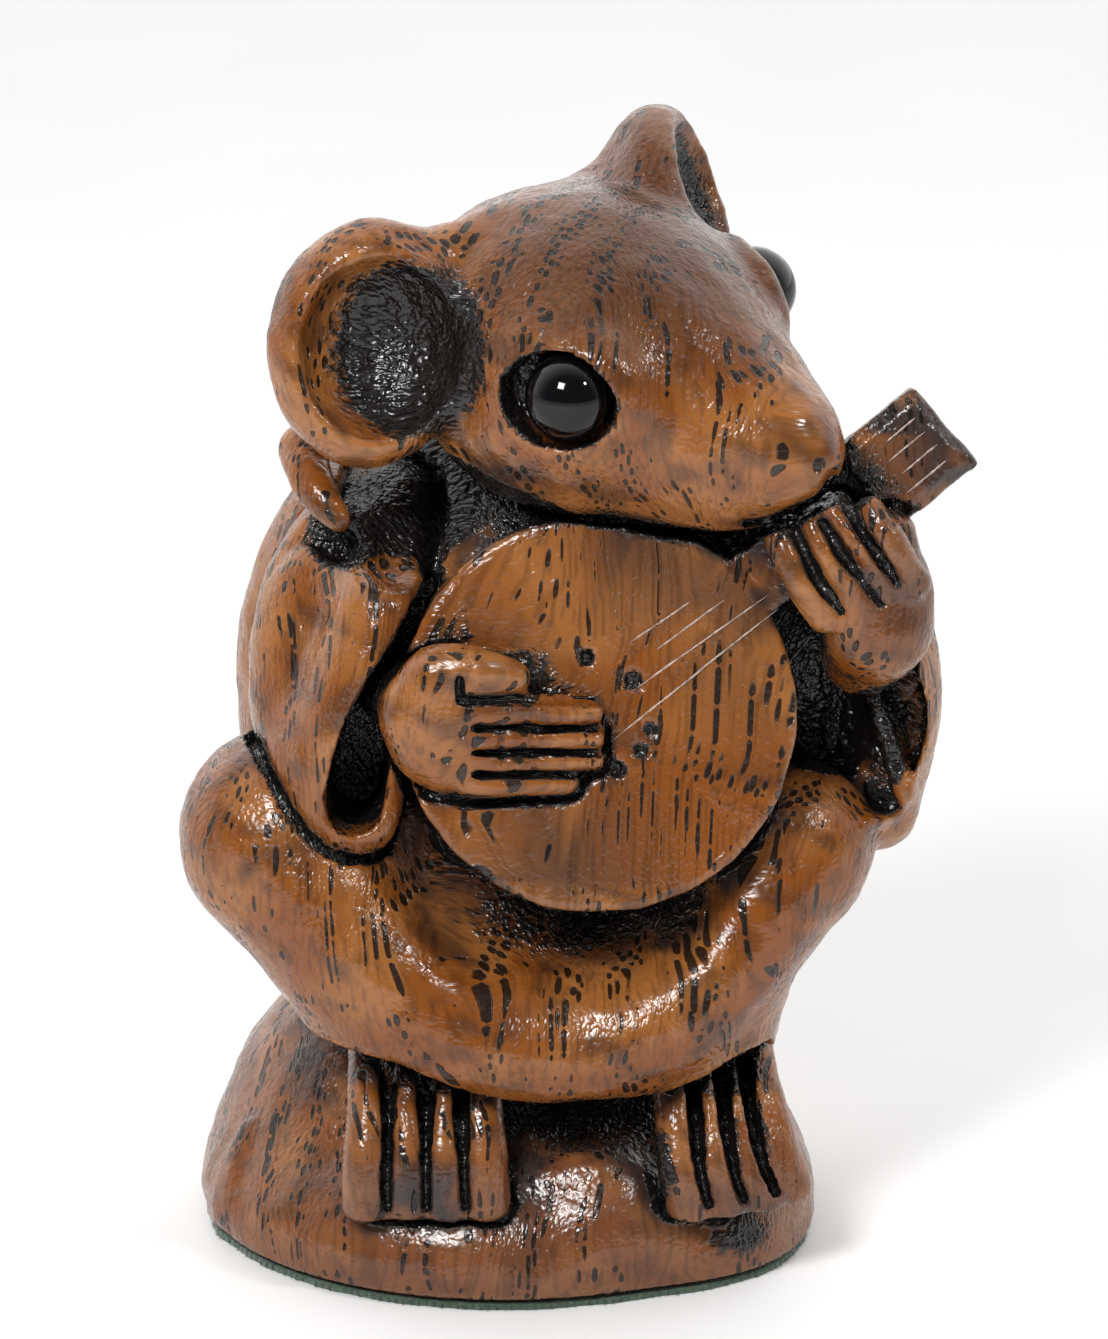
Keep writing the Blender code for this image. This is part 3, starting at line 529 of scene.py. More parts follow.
def ears(clay):
    clay.rod([(-8.5, -6, 67.3), (-4.5, -5, 66.9), (0, -3, 67.1)], [1.8, 2.0, 2.2], 1)
    ear(clay, at(-8.7, -8.0, 61.8), LEFT_EAR, (4.2, 6.5, 7.9), (5.0, 5.3, 6.0), np.array([3.4, 1.3, -0.3]))
    clay.rod([(6.5, 3, 66), (9.8, 5, 70.4)], [4.2, 2.7], 2)
    ear(clay, at(11.4, 5, 67.4), RIGHT_EAR, (3.6, 6.9, 6.9), (4.2, 5.6, 5.6), np.array([3.2, 0, 0]))


def almond(centre, half_length, half_height, half_depth, axes):
    """A lens-shaped cutter: axes run through it, along its length and up."""
    half_length, half_height, half_depth = (x * PART for x in (half_length, half_height, half_depth))
    radius = (half_length**2 + half_height**2) / (2 * half_height)
    drop = radius - half_height

    def distance(points):
        through, along, up = ((points - centre) @ axes.T).T
        lens = np.hypot(along, np.abs(up) + drop) - radius
        return np.maximum(lens, np.abs(through) - half_depth)

    reach = half_length + half_depth
    return Form(distance, centre - reach, centre + reach)


def eye_ways(side):
    """The way an eye looks, and the rows that its lids are set by."""
    out = np.array([0.2, side * 0.97, 0.1]) @ HEAD_AXES
    return out, axes_of(out, np.array([0.06, 0, 1]) @ HEAD_AXES)


def eye_sockets(clay):
    """A round seat for each eye, inside almond-shaped lids."""
    for side, place in zip((-1, 1), EYE_PLACES.values()):
        centre = in_head(*place)
        out, lids = eye_ways(side)
        height, long_half, up_half = (2.2, 4.6, 4.0) if side < 0 else (1.5, 4.2, 3.7)
        clay.add(ellipsoid(centre - out * 1.0 * PART, (height, long_half, up_half), lids), 1.5)
        opening = centre + (out * 3.4 - HEAD_AXES[0] * 0.25) * PART
        clay.cut(almond(opening, 4.05, 3.1, 3.9, lids), 0.25)
        clay.cut(ellipsoid(centre, [(EYE_DIAMETER / 2 + EYE_GAP) / PART] * 3), 0.15)


def ground(clay):
    """Cuts the underside flat."""
    bottom = Form(lambda points: points[:, 2] - WOOD_BOTTOM, at(-60, -60, -60), at(60, 60, 0))
    clay.cut(bottom, 0.2)


def carve(clay):
    robe(clay)
    right_sleeve(clay)
    gown(clay)
    left_sleeve(clay)
    collar(clay)
    hem(clay)
    rock(clay)
    tail(clay)
    feet(clay)
    lute(clay)
    left_hand(clay)
    right_hand(clay)
    head(clay)
    ears(clay)
    eye_sockets(clay)
    ground(clay)


LOW = at(-25, -24, -3)
HIGH = at(34, 21, 78)


def distances(voxel):
    """The carving's distance on a grid, worked out only in the blocks that its surface may cross."""
    counts = [int(math.ceil(side / voxel / BLOCK)) for side in HIGH - LOW]
    starts = np.stack(np.meshgrid(*map(np.arange, counts), indexing="ij"), axis=-1).reshape(-1, 3)
    half_diagonal = BLOCK * voxel * math.sqrt(3) / 2
    coarse = Clay(LOW + (starts + 0.5) * BLOCK * voxel, half_diagonal)
    carve(coarse)
    values = np.repeat(np.sign(coarse.value), BLOCK**3).reshape(*counts, BLOCK, BLOCK, BLOCK)
    values = values.astype(np.float32)
    crossed = np.flatnonzero(np.abs(coarse.value) < 1.5 * half_diagonal)
    inner = np.stack(np.meshgrid(*[np.arange(BLOCK)] * 3, indexing="ij"), axis=-1).reshape(-1, 3)
    blocks = starts[crossed]
    for part in np.array_split(np.arange(len(blocks)), max(1, len(blocks) // 1500)):
        spots = blocks[part]
        fine = Clay((LOW + (spots[:, None] * BLOCK + inner) * voxel).reshape(-1, 3), 2 * voxel)
        carve(fine)
        values[spots[:, 0], spots[:, 1], spots[:, 2]] = fine.value.reshape(-1, BLOCK, BLOCK, BLOCK)
    return values.transpose(0, 3, 1, 4, 2, 5).reshape([n * BLOCK for n in counts])


def footprint(sides):
    """The felt's outline: the rock's edge just above its underside, set in a little."""
    turns = np.linspace(0, 2 * math.pi, sides, endpoint=False)
    rays = np.stack([np.cos(turns), np.sin(turns), np.zeros(sides)], axis=1)
    steps = np.arange(10, 30, 0.1)
    centre = np.array([0, 0, WOOD_BOTTOM + 0.4])
    edge = Clay((centre + rays[:, None] * steps[:, None]).reshape(-1, 3), 0.1)
    rock(edge)
    inside = edge.value.reshape(sides, len(steps)) < 0
    radii = steps[inside.sum(axis=1) - 1] - FELT_INSET
    return rays * radii[:, None]


def largest(points, quads):
    """The biggest joined surface, without the loose specks that thin grooves leave."""
    label = np.arange(len(points))
    changed = True
    while changed:
        lowest = label[quads].min(axis=1)
        joined = label.copy()
        for corner in range(4):
            np.minimum.at(joined, quads[:, corner], lowest)
        joined = joined[joined]
        changed = bool((joined != label).any())
        label = joined
    keep = label == np.bincount(label).argmax()
    number = np.cumsum(keep) - 1
    return points[keep], number[quads[keep[quads[:, 0]]]]


def blurred(volume, cells):
    """The volume smoothed by a Gaussian that is so many cells wide."""
    reach = int(math.ceil(2.5 * cells))
    weights = np.exp(-0.5 * (np.arange(-reach, reach + 1) / cells) ** 2)
    weights /= weights.sum()
    for axis in range(3):
        size = volume.shape[axis]
        sides = [(reach, reach) if a == axis else (0, 0) for a in range(3)]
        padded = np.pad(volume, sides, mode="edge")
        total = np.zeros_like(volume)
        for step, weight in enumerate(weights):
            window = [slice(None)] * 3
            window[axis] = slice(step, step + size)
            total += np.float32(weight) * padded[tuple(window)]
        volume = total
    return volume


def sampled(volume, cell, places):
    """The volume's value at places, between the middles of its cells."""
    spots = np.clip((places - LOW) / cell, 0, np.array(volume.shape) - 1.001)
    base = spots.astype(int)
    share = spots - base
    total = np.zeros(len(places))
    for corner in np.ndindex(2, 2, 2):
        weight = np.prod(np.where(corner, share, 1 - share), axis=1)
        total += weight * volume[tuple((base + corner).T)]
    return total


def rise(values, low, high):
    """From 0 at low to 1 at high, smoothly."""
    share = np.clip((values - low) / (high - low), 0, 1)
    return share * share * (3 - 2 * share)


def waves(places, length, seed, count=14):
    """A smooth field from about -1 to 1 that varies over about a length."""
    chance = np.random.default_rng(seed)
    ways = chance.normal(size=(count, 3))
    ways /= np.linalg.norm(ways, axis=1)[:, None]
    lengths = length * chance.uniform(0.7, 1.6, count)
    phases = chance.uniform(0, 2 * math.pi, count)
    turns = places @ (ways * (2 * math.pi / lengths)[:, None]).T + phases
    return np.sin(turns).sum(axis=1) / math.sqrt(count)


def zone(places, centre, radii, axes=UPRIGHT, soft=0.5):
    """1 in the middle of an ellipsoid, falling to 0 at its edge over a soft share of its radius."""
    local = (places - centre) @ axes.T / (np.array(radii) * PART)
    return 1 - rise(np.linalg.norm(local, axis=1), 1 - soft, 1)


def blended(colours, other, share):
    """The colours taken towards another by each point's own share."""
    return colours + (np.array(other) - colours) * np.clip(share, 0, 1)[:, None]


def hollows(places, normals, grid):
    """How far each point lies in a hollow: tightly, within a few millimetres, and widely."""
    solid = np.clip(0.5 - grid / (2 * VOXEL), 0, 1).astype(np.float32)
    x, y, z = (side // 2 for side in solid.shape)
    half = solid[: x * 2, : y * 2, : z * 2].reshape(x, 2, y, 2, z, 2).mean(axis=(1, 3, 5))
    halved = places - VOXEL / 2
    tight = sampled(blurred(solid, 0.45 / VOXEL), VOXEL, places + normals * 0.35)
    middle = sampled(blurred(half, 1.3 / (2 * VOXEL)), 2 * VOXEL, halved + normals * 1.0)
    wide = sampled(blurred(half, 3.4 / (2 * VOXEL)), 2 * VOXEL, halved + normals * 2.6)
    return tight, middle, wide


def stained_and_shaded(places, tight, middle, wide):
    """How much black stain each point holds, in the hollows and where it was brushed on, with a painted
    shadow under the hem over the tops of the toes.
    """
    uneven = 0.02 * waves(places, 5.0, 3)
    stain_and_shade = 0.95 * rise(tight, 0.31, 0.50) + 0.95 * rise(middle + uneven, 0.33, 0.52)
    stain_and_shade += 0.9 * rise(wide + uneven, 0.37, 0.56)
    cup = LEFT_CUP - LEFT_EAR[0] * 2.6 * PART
    far_cup = RIGHT_CUP - RIGHT_EAR[0] * 1.6 * PART
    for centre, radii, soft, depth in (
        ((-5.8, -6.0, 50.2), (5.4, 8.0, 3.8), 0.3, 1.3),
        ((0, -7.5, 52.4), (8.0, 6.0, 2.6), 0.3, 1.2),
        ((20.6, -4.0, 36.4), (4.8, 6.2, 6.8), 0.25, 1.2),
        ((24.6, -7.5, 36.0), (2.6, 5.0, 6.0), 0.3, 1.2),
        ((3.0, -11.0, 23.2), (8.5, 5.0, 3.0), 0.6, 0.5),
        ((5.0, -10.0, 8.6), (6.0, 6.0, 3.0), 0.4, 0.3),
        # Painted shadow: black over the tops of the toes where the hem overhangs them.
        ((-5.0, -12.4, 13.4), (5.6, 4.0, 2.2), 0.6, 0.7),
        ((14.5, -12.0, 12.8), (5.0, 4.0, 2.2), 0.6, 0.7),
        ((-10.9, -13.0, 8.5), (1.5, 4.0, 4.5), 0.6, 0.6),
        ((10.4, -15.6, 7.6), (1.3, 3.0, 3.4), 0.6, 0.9),
        ((-10.6, -6.0, 48.3), (3.4, 5.5, 2.4), 0.35, 1.0),
        ((-12.3, -7.5, 51.6), (2.6, 3.0, 1.6), 0.9, 0.5),
        ((16.0, -14.0, 1.6), (4.2, 3.6, 2.0), 0.8, 0.8),
        ((7.2, -15.3, 41.0), (2.4, 2.2, 1.3), 0.7, 0.8),
        ((21.8, -11.5, 53.4), (3.0, 4.0, 2.2), 0.5, 0.9),
        ((15.5, -14.0, 48.8), (3.4, 2.5, 1.6), 0.7, 0.8),
    ):
        stain_and_shade += depth * zone(places, at(*centre), radii, UPRIGHT, soft)
    for centre, radii, axes, soft, depth in (
        (cup + LEFT_EAR[1] * 1.7 * PART, (7.0, 6.7, 7.0), LEFT_EAR, 0.5, 1.4),
        (far_cup, (5.0, 5.6, 5.6), RIGHT_EAR, 0.3, 1.3),
        (at(-9.0, -10.5, 36.4), (2.0, 3.4, 7.2), axes_of((1, 0, -0.2), (0.2, 0, 1)), 0.25, 1.4),
        (on_face(-1.7, 28.5), (1.5, 1.5, 1.2), UPRIGHT, 0.4, 1.0),
    ):
        stain_and_shade += depth * zone(places, centre, radii, axes, soft)
    for side, place in zip((-1, 1), EYE_PLACES.values()):
        out, lids = eye_ways(side)
        opening = in_head(*place) + (out * 1.8 - HEAD_AXES[0] * 0.25) * PART
        stain_and_shade += 1.5 * zone(places, opening, (5.0, 4.3, 3.3), lids, 0.10)
    for top, bottom in ((-7.6, -7.7), (-5.1, -5.1), (-2.8, -2.5),
                        (12.2, 13.5), (14.2, 15.8), (15.8, 17.9)):
        slot = axes_of((bottom - top, 0, -7), (0, -1, 0))
        stain_and_shade += 0.6 * zone(places, at((top + bottom) / 2, -14.5, 9.8), (4.8, 0.95, 4.0), slot, 0.9)
    for x, z, _, radius in DOTS:
        stain_and_shade += 1.3 * zone(places, on_face(x, z), (radius, radius, radius), UPRIGHT, 0.25)
    wiped = zone(places, at(1.3, -13.0, 44.8), (5.6, 2.2, 2.6), UPRIGHT, 0.3)
    return np.clip(stain_and_shade - 0.9 * wiped, 0, 1)


def toned_and_shaded(places, tight, middle, wide):
    """The wood's colour at each point, pale where worn, with painted shade greying it in and round hollows
    and under overhangs.
    """
    streaks = waves(places * [1, 1, 0.3], 1.6, 15, 20)
    patches = waves(places, 7.0, 5) + 0.3 * streaks
    clouds = 0.8 * waves(places, 4.2, 6) + 0.6 * waves(places, 1.8, 10, 20)
    tone_and_shade = blended(np.full((len(places), 3), HONEY), ORANGE, rise(patches, -0.9, 0.7))
    tone_and_shade = blended(tone_and_shade, BROWN, 0.75 * rise(clouds, -0.1, 1.5))
    for centre, radii, share in (((8, -4, 65), (15, 17, 10), 1.0), ((17, -8, 59), (9, 8, 6), 0.4),
                                 ((9.5, 0, 72.5), (8, 8, 6), 0.9)):
        tone_and_shade = blended(tone_and_shade, BROWN, share * zone(places, at(*centre), radii, UPRIGHT, 0.6))
    worn = rise(-middle, -0.17, -0.07)
    tone_and_shade = blended(tone_and_shade, WORN, 0.4 * worn * rise(clouds, 1.2, -0.8))
    red = 0.7 * rise(-places[:, 2], -at(0, 0, 12)[2], -at(0, 0, 6)[2])
    red += 0.9 * zone(places, at(25, -11, 48.5), (5, 6, 9), UPRIGHT, 0.4)
    red += 0.8 * zone(places, at(9, 4, 69), (8, 8, 6), UPRIGHT, 0.6)
    red *= 1 - 0.7 * zone(places, at(-17, -8, 6), (9, 9, 8), UPRIGHT, 0.6)
    tone_and_shade = blended(tone_and_shade, RUSSET, 0.8 * red)
    # Painted shade: grey-brown darkening round the hollows, under the chin and snout, where the robe
    # overhangs the rock, below the toes, low on the rock, on the lute's lower and far parts and on the far
    # hand.
    painted_shade = 0.85 * rise(middle, 0.25, 0.42) + 0.85 * rise(wide + 0.02 * clouds, 0.26, 0.46)
    for centre, radii, soft, depth in (
        ((14.5, -13, 47.0), (6.5, 4, 5.0), 0.9, 0.9),
        ((3.5, -16, 29.0), (9.0, 3.0, 5.4), 0.8, 1.0),
        ((15.5, -14, 38.0), (4.5, 3.0, 9.0), 0.9, 0.5),
        ((25.0, -13, 47.0), (6.0, 6.0, 8.0), 0.8, 0.5),
        ((-5.0, -16.5, 5.5), (7.0, 4.0, 3.0), 0.8, 0.5),
        ((15.5, -15.5, 5.5), (6.0, 4.0, 3.0), 0.8, 0.6),
        ((-12.5, -4.0, 10.5), (5, 8, 3.2), 0.8, 1.0),
        ((27.5, -9.5, 55.3), (6.0, 5, 6.0), 0.4, 1.2),
        ((0.5, -12.5, 54.0), (5.5, 5, 3.0), 0.8, 1.0),
    ):
        painted_shade += depth * zone(places, at(*centre), radii, UPRIGHT, soft)
    painted_shade += (0.8 * zone(places, at(0, -8, 6), (24, 22, 5.0), UPRIGHT, 0.6)
             * rise(waves(places, 6.0, 8), -0.4, 0.9))
    painted_shade -= 0.7 * zone(places, at(1.3, -13.0, 44.8), (6.2, 2.4, 3.0), UPRIGHT, 0.4)
    tone_and_shade = blended(tone_and_shade, SHADE_GREY, painted_shade * rise(clouds, -2.0, 0.6))
    return np.clip(blended(tone_and_shade, WORN, 0.35 * rise(-tight, -0.15, -0.04)), 0, 1)


def grained(places):
    """The grain's directions, bent a little, and where its pores lie: in clumps along each ring."""
    slow = places * [1, 1, 0.35]
    bend = [1.5 * waves(slow, 13.0, seed) + 0.35 * waves(slow, 3.5, seed + 20)
            for seed in (12, 13)]
    level = np.stack([places[:, 0], 0.967 * places[:, 1] - 0.255 * places[:, 2]], axis=1)
    across, along = level @ (0.77, -0.63) + bend[0], level @ (0.63, 0.77) + bend[1]
    ring = across / RING
    in_ring = ring - np.floor(ring)
    band = rise(in_ring, 0.0, 0.08) * rise(-in_ring, -0.52, -0.44)
    clumps = waves(np.stack([across * 0.5, along, places[:, 2] * 0.35], axis=1), 3.0, 14, 20)
    grain = np.stack([across, along, 0.967 * places[:, 2] + 0.255 * places[:, 1]], axis=1)
    return grain, rise(band * rise(clumps, -0.95, -0.6), 0.12, 0.4)


class Wiring:
    """A material's nodes, joined as they are made."""

    def __init__(self, name):
        self.material = bpy.data.materials.new(name)
        self.material.use_nodes = True
        self.tree = self.material.node_tree
        self.shader = self.tree.nodes["Principled BSDF"]

    def node(self, kind, inputs=(), **settings):
        made = self.tree.nodes.new(kind)
        for name, value in settings.items():
            setattr(made, name, value)
        for name, value in dict(inputs).items():
            self.feed(made.inputs[name], value)
        return made

    def feed(self, socket, value):
        if isinstance(value, bpy.types.NodeSocket):
            self.tree.links.new(value, socket)
        else:
            socket.default_value = value

    def math(self, operation, *values):
        made = self.tree.nodes.new("ShaderNodeMath")
        made.operation = operation
        for socket, value in zip(made.inputs, values):
            self.feed(socket, value)
        return made.outputs[0]

    def plus(self, one, other):
        return self.math("ADD", one, other)

    def times(self, one, other):
        return self.math("MULTIPLY", one, other)

    def give(self, name, value):
        self.feed(self.shader.inputs[name], value)

    def stretched(self, vector, factors):
        made = self.tree.nodes.new("ShaderNodeVectorMath")
        made.operation = "MULTIPLY"
        self.feed(made.inputs[0], vector)
        self.feed(made.inputs[1], factors)
        return made.outputs[0]

    def scaled(self, vector, factor):
        made = self.tree.nodes.new("ShaderNodeVectorMath")
        made.operation = "SCALE"
        self.feed(made.inputs[0], vector)
        self.feed(made.inputs["Scale"], factor)
        return made.outputs[0]

    def noise(self, vector, scale, detail=2.0, rough=0.5):
        made = self.node("ShaderNodeTexNoise", {"Vector": vector, "Scale": scale, "Detail": detail,
                                                "Roughness": rough})
        return made.outputs["Fac"]

    def step(self, value, low, high, start=0.0, end=1.0):
        ends = {"Value": value, "From Min": low, "From Max": high, "To Min": start, "To Max": end}
        made = self.node("ShaderNodeMapRange", ends, interpolation_type="SMOOTHSTEP")
        return made.outputs[0]

    def mixed(self, share, one, other):
        made = self.tree.nodes.new("ShaderNodeMix")
        made.data_type = "RGBA"
        self.feed(made.inputs[0], share)
        self.feed(made.inputs[6], one)
        self.feed(made.inputs[7], other)
        return made.outputs[2]

    def attribute(self, name):
        return self.node("ShaderNodeAttribute", attribute_name=name).outputs["Fac"]

    def place(self):
        """The place in the object, in millimetres."""
        return self.scaled(self.node("ShaderNodeTexCoord").outputs["Object"], 1000.0)

    def bump(self, height_mm):
        made = self.node("ShaderNodeBump", {"Height": height_mm, "Distance": 0.001, "Strength": 1.0})
        self.tree.links.new(made.outputs[0], self.shader.inputs["Normal"])


def stained_shaded_wood():
    """Reddish brown wood, pored in bands, with dark stain in its hollows under a worn polish, and painted
    shade and shadow in its colour.
    """
    w = Wiring("carved_wood")
    # The stain attribute also holds a painted shadow over the toes, and the colour attribute holds the
    # wood's colour with painted shade baked in.
    stain_and_shade, pored = w.attribute("stain_and_shade"), w.attribute("pored")
    tone_and_shade = w.node("ShaderNodeAttribute", attribute_name="tone_and_shade").outputs["Color"]
    grain = w.node("ShaderNodeAttribute", attribute_name="grain").outputs["Vector"]
    height = w.node("ShaderNodeSeparateXYZ", {"Vector": grain}).outputs[2]
    normal = w.node("ShaderNodeNewGeometry").outputs["True Normal"]
    level = w.math("ABSOLUTE", w.node("ShaderNodeSeparateXYZ", {"Vector": normal}).outputs[2])

    cell = w.node("ShaderNodeTexVoronoi", {"Vector": grain, "Scale": 1.38, "Randomness": 0.6},
                  voronoi_dimensions="2D")
    chance = w.node("ShaderNodeSeparateColor", {"Color": cell.outputs["Color"]}).outputs
    phase = w.plus(w.times(height, 0.38), w.times(chance[0], 7.0))
    off = w.math("SUBTRACT", w.times(w.math("FRACT", phase), 2.0), 1.0)
    taper = w.step(w.math("ABSOLUTE", off), 0.78, 1.0, 1.0, 0.0)
    lone = w.times(w.math("GREATER_THAN", chance[2], 0.94), 0.6)
    size = w.times(w.math("MAXIMUM", pored, lone), taper)
    girth = w.plus(0.26, w.times(level, 0.18))
    varied = w.plus(0.85, w.times(chance[1], 0.3))
    radius = w.times(size, w.times(girth, varied))
    pores = w.step(cell.outputs["Distance"], w.times(radius, 0.7),
                   w.plus(radius, 0.001), 1.0, 0.0)

    fibre = w.noise(w.stretched(grain, (2.6, 2.6, 0.14)), 1.0, 0.0, 0.6)
    grit = w.noise(grain, 2.2, 1.0, 0.65)
    wood = w.mixed(w.step(fibre, 0.45, 0.75, 0.0, 0.5), tone_and_shade, w.scaled(tone_and_shade, 0.35))
    wood = w.mixed(w.step(grit, 0.45, 0.75, 0.0, 0.3), wood, w.scaled(tone_and_shade, 0.45))
    dark = w.step(w.plus(stain_and_shade, w.math("SUBTRACT", grit, 0.5)), 0.22, 0.70)
    wood = w.mixed(dark, wood, w.mixed(grit, (0.003, 0.003, 0.003, 1), (0.014, 0.011, 0.010, 1)))
    wood = w.mixed(w.times(pores, 0.94), wood, (0.008, 0.006, 0.005, 1))
    w.give("Base Color", wood)
    w.give("Roughness", w.step(grit, 0.3, 0.8, 0.15, 0.34))
    w.give("IOR", 1.5)
    w.give("Specular IOR Level", 0.48)

    crust = w.times(grit, w.plus(0.08, w.times(dark, 0.17)))
    w.bump(w.math("SUBTRACT", crust, w.times(pores, 0.14)))
    return w.material


def black_glass():
    """Polished black glass, with a little dust in its gloss."""
    w = Wiring("black_glass")
    mm = w.place()
    dust = w.noise(mm, 1.6, 4.0, 0.7)
    colour = w.mixed(w.step(dust, 0.55, 0.85), (0.002, 0.002, 0.003, 1), (0.006, 0.006, 0.007, 1))
    w.give("Base Color", colour)
    w.give("Roughness", w.step(dust, 0.45, 0.85, 0.04, 0.14))
    w.give("IOR", 1.4)
    w.bump(w.times(w.noise(mm, 0.5), 0.01))
    return w.material


def green_felt():
    """Dark green felt, matted and slightly mottled."""
    w = Wiring("green_felt")
    mm = w.place()
    mat = w.noise(mm, 3.2, 4.0, 0.7)
    hairs = w.noise(w.stretched(mm, (6.0, 1.2, 6.0)), 1.0, 3.0, 0.7)
    colour = w.mixed(w.step(mat, 0.3, 0.75), (0.020, 0.055, 0.030, 1), (0.075, 0.14, 0.080, 1))
    w.give("Base Color", colour)
    w.give("Roughness", 0.95)
    w.give("Sheen Weight", 0.4)
    w.give("Sheen Roughness", 0.6)
    w.bump(w.plus(w.times(mat, 0.15), w.times(hairs, 0.12)))
    return w.material


def pale_floor():
    w = Wiring("floor")
    mm = w.place()
    colour = w.mixed(w.noise(mm, 0.05, 0.0), (0.86, 0.86, 0.86, 1), (0.89, 0.89, 0.885, 1))
    w.give("Base Color", colour)
    w.give("Roughness", 0.7)
    w.give("Specular IOR Level", 0.0)
    return w.material


def meshed(name, shape):
    """The shape's mesh, with the shape let go."""
    mesh = bpy.data.meshes.new(name)
    shape.to_mesh(mesh)
    shape.free()
    return mesh


def shown(name, mesh, material):
    mesh.materials.append(material)
    piece = bpy.data.objects.new(name, mesh)
    bpy.context.scene.collection.objects.link(piece)
    return piece


def fine_carving(material):
    """The carving's fine mesh, with its patina, painted shade and grain kept at its points."""
    grid = distances(VOXEL)
    volume = openvdb.FloatGrid(FAR)
    volume.copyFromArray(np.clip(grid, -2 * VOXEL, 2 * VOXEL))
    points, _, quads = volume.convertToPolygons(isovalue=0.0, adaptivity=0.0)
    points, quads = largest(points, quads)
    mesh = bpy.data.meshes.new("raw")
    mesh.from_pydata(((points * VOXEL + LOW) * MM).tolist(), [], quads.tolist())
    raw = bpy.data.objects.new("raw", mesh)
    bpy.context.scene.collection.objects.link(raw)
    thin = raw.modifiers.new("thin", "DECIMATE")
    thin.ratio = min(1.0, CARVING_TRIANGLES / (2 * len(quads)))
    fine = bpy.data.meshes.new_from_object(raw.evaluated_get(bpy.context.evaluated_depsgraph_get()))
    bpy.data.objects.remove(raw)
    bpy.data.meshes.remove(mesh)
    fine.name = "carving_fine"
    places, normals = np.empty((2, len(fine.vertices) * 3))
    fine.vertices.foreach_get("co", places)
    fine.vertices.foreach_get("normal", normals)
    places, normals = places.reshape(-1, 3) / MM, normals.reshape(-1, 3)
    depths = hollows(places, normals, grid)
    stain_and_shade = stained_and_shaded(places, *depths)
    tone_and_shade = toned_and_shaded(places, *depths)
    grain, pored = grained(places)
    facets = 0.045 * waves(places, 5.5, 1) + 0.045 * waves(places, 2.4, 2)
    facets += 0.018 * waves(places, 1.1, 30, 24)
    rough = 0.07 * stain_and_shade * waves(places, 1.1, 4, 24)
    lift = (facets + rough) * (places[:, 2] > WOOD_BOTTOM + 0.3)
    places += normals * (lift - 0.02)[:, None]
    places[:, 2] = np.maximum(places[:, 2], WOOD_BOTTOM)
    fine.vertices.foreach_set("co", (places * MM).ravel())
    for name, values, kind, field in (
        ("stain_and_shade", stain_and_shade, "FLOAT", "value"), ("pored", pored, "FLOAT", "value"),
        ("tone_and_shade", tone_and_shade, "FLOAT_VECTOR", "vector"), ("grain", grain, "FLOAT_VECTOR", "vector"),
    ):
        data = fine.attributes.new(name, kind, "POINT").data
        data.foreach_set(field, values.astype(np.float32).ravel())
    fine.shade_smooth()
    fine.update()
    return shown("carving_fine", fine, material)


def beads(material):
    """The two glass eyes, turned a little flat in front."""
    made = []
    for side, (name, place) in zip((-1, 1), EYE_PLACES.items()):
        ball = bmesh.new()
        bmesh.ops.create_uvsphere(ball, u_segments=64, v_segments=40, radius=EYE_DIAMETER / 2 * MM)
        out = Vector(eye_ways(side)[0])
        turn = Vector((0, 0, 1)).rotation_difference(out).to_matrix()
        for spot in ball.verts:
            spot.co.z *= 0.96 if spot.co.z > 0 else 1.0
            spot.co = turn @ spot.co + Vector(in_head(*place) * MM)
        mesh = meshed(f"{name}_bead", ball)
        mesh.shade_smooth()
        made.append((shown(f"{name}_bead", mesh, material), name))
    return made


def strings(material):
    """Four thin ridges over the disc, and four on the peghead, scratched up along the lute."""
    lines = [(on_face(8.1, 43.3), on_face(12.3, 46.0)), (on_face(8.3, 41.8), on_face(14.4, 46.1)),
             (on_face(8.3, 40.3), on_face(17.2, 46.3)), (on_face(7.0, 37.2), on_face(17.8, 45.4))]
    top = LUTE_CENTRE - LUTE_FACE * 1.7 * PART + LUTE_NECK * 25.6 * PART + LUTE_FACE * 1.88 * PART
    side = LUTE_AXES[1]
    for across, start, end in ((-1.75, -1.2, 2.4), (-0.6, -0.6, 2.5), (0.55, -0.9, 2.3), (1.6, -0.2, 2.4)):
        lines.append((top + LUTE_NECK * start + side * across, top + LUTE_NECK * end + side * across))
    chance = np.random.default_rng(7)
    shape = bmesh.new()
    for start, end in lines:
        length = np.linalg.norm(end - start)
        way = (end - start) / length
        across = np.cross(way, LUTE_FACE)
        steps = int(length / 0.22)
        rings = []
        wander = np.cumsum(chance.normal(0, 0.006, steps + 1))
        for step in range(steps + 1):
            share = step / steps
            taper = min(1.0, 6 * share, 6 * (1 - share)) * chance.uniform(0.6, 1.15)
            spot = start + way * length * share + across * wander[step]
            ring = []
            for turn in range(6):
                angle = 2 * math.pi * turn / 6
                wide, high = (size * max(taper, 0.15) for size in (0.075, 0.06))
                off = across * math.cos(angle) * wide + LUTE_FACE * math.sin(angle) * high
                ring.append(shape.verts.new(((spot + off) * MM).tolist()))
            rings.append(ring)
        for one, other in zip(rings, rings[1:]):
            for turn in range(6):
                shape.faces.new((one[turn], one[(turn + 1) % 6], other[(turn + 1) % 6], other[turn]))
        shape.faces.new(rings[0][::-1])
        shape.faces.new(rings[-1])
    bmesh.ops.recalc_face_normals(shape, faces=shape.faces)
    mesh = meshed("strings", shape)
    mesh.shade_smooth()
    return shown("strings", mesh, material)


def scratched_wood():
    """Bare pale wood, as where a line is cut through the polish."""
    w = Wiring("scratched_wood")
    mm = w.place()
    pale = w.step(w.noise(mm, 2.0), 0.35, 0.65)
    w.give("Base Color", w.mixed(pale, (0.25, 0.17, 0.14, 1), (0.48, 0.36, 0.30, 1)))
    w.give("Roughness", 0.3)
    w.bump(w.times(w.noise(mm, 6.0), 0.03))
    return w.material


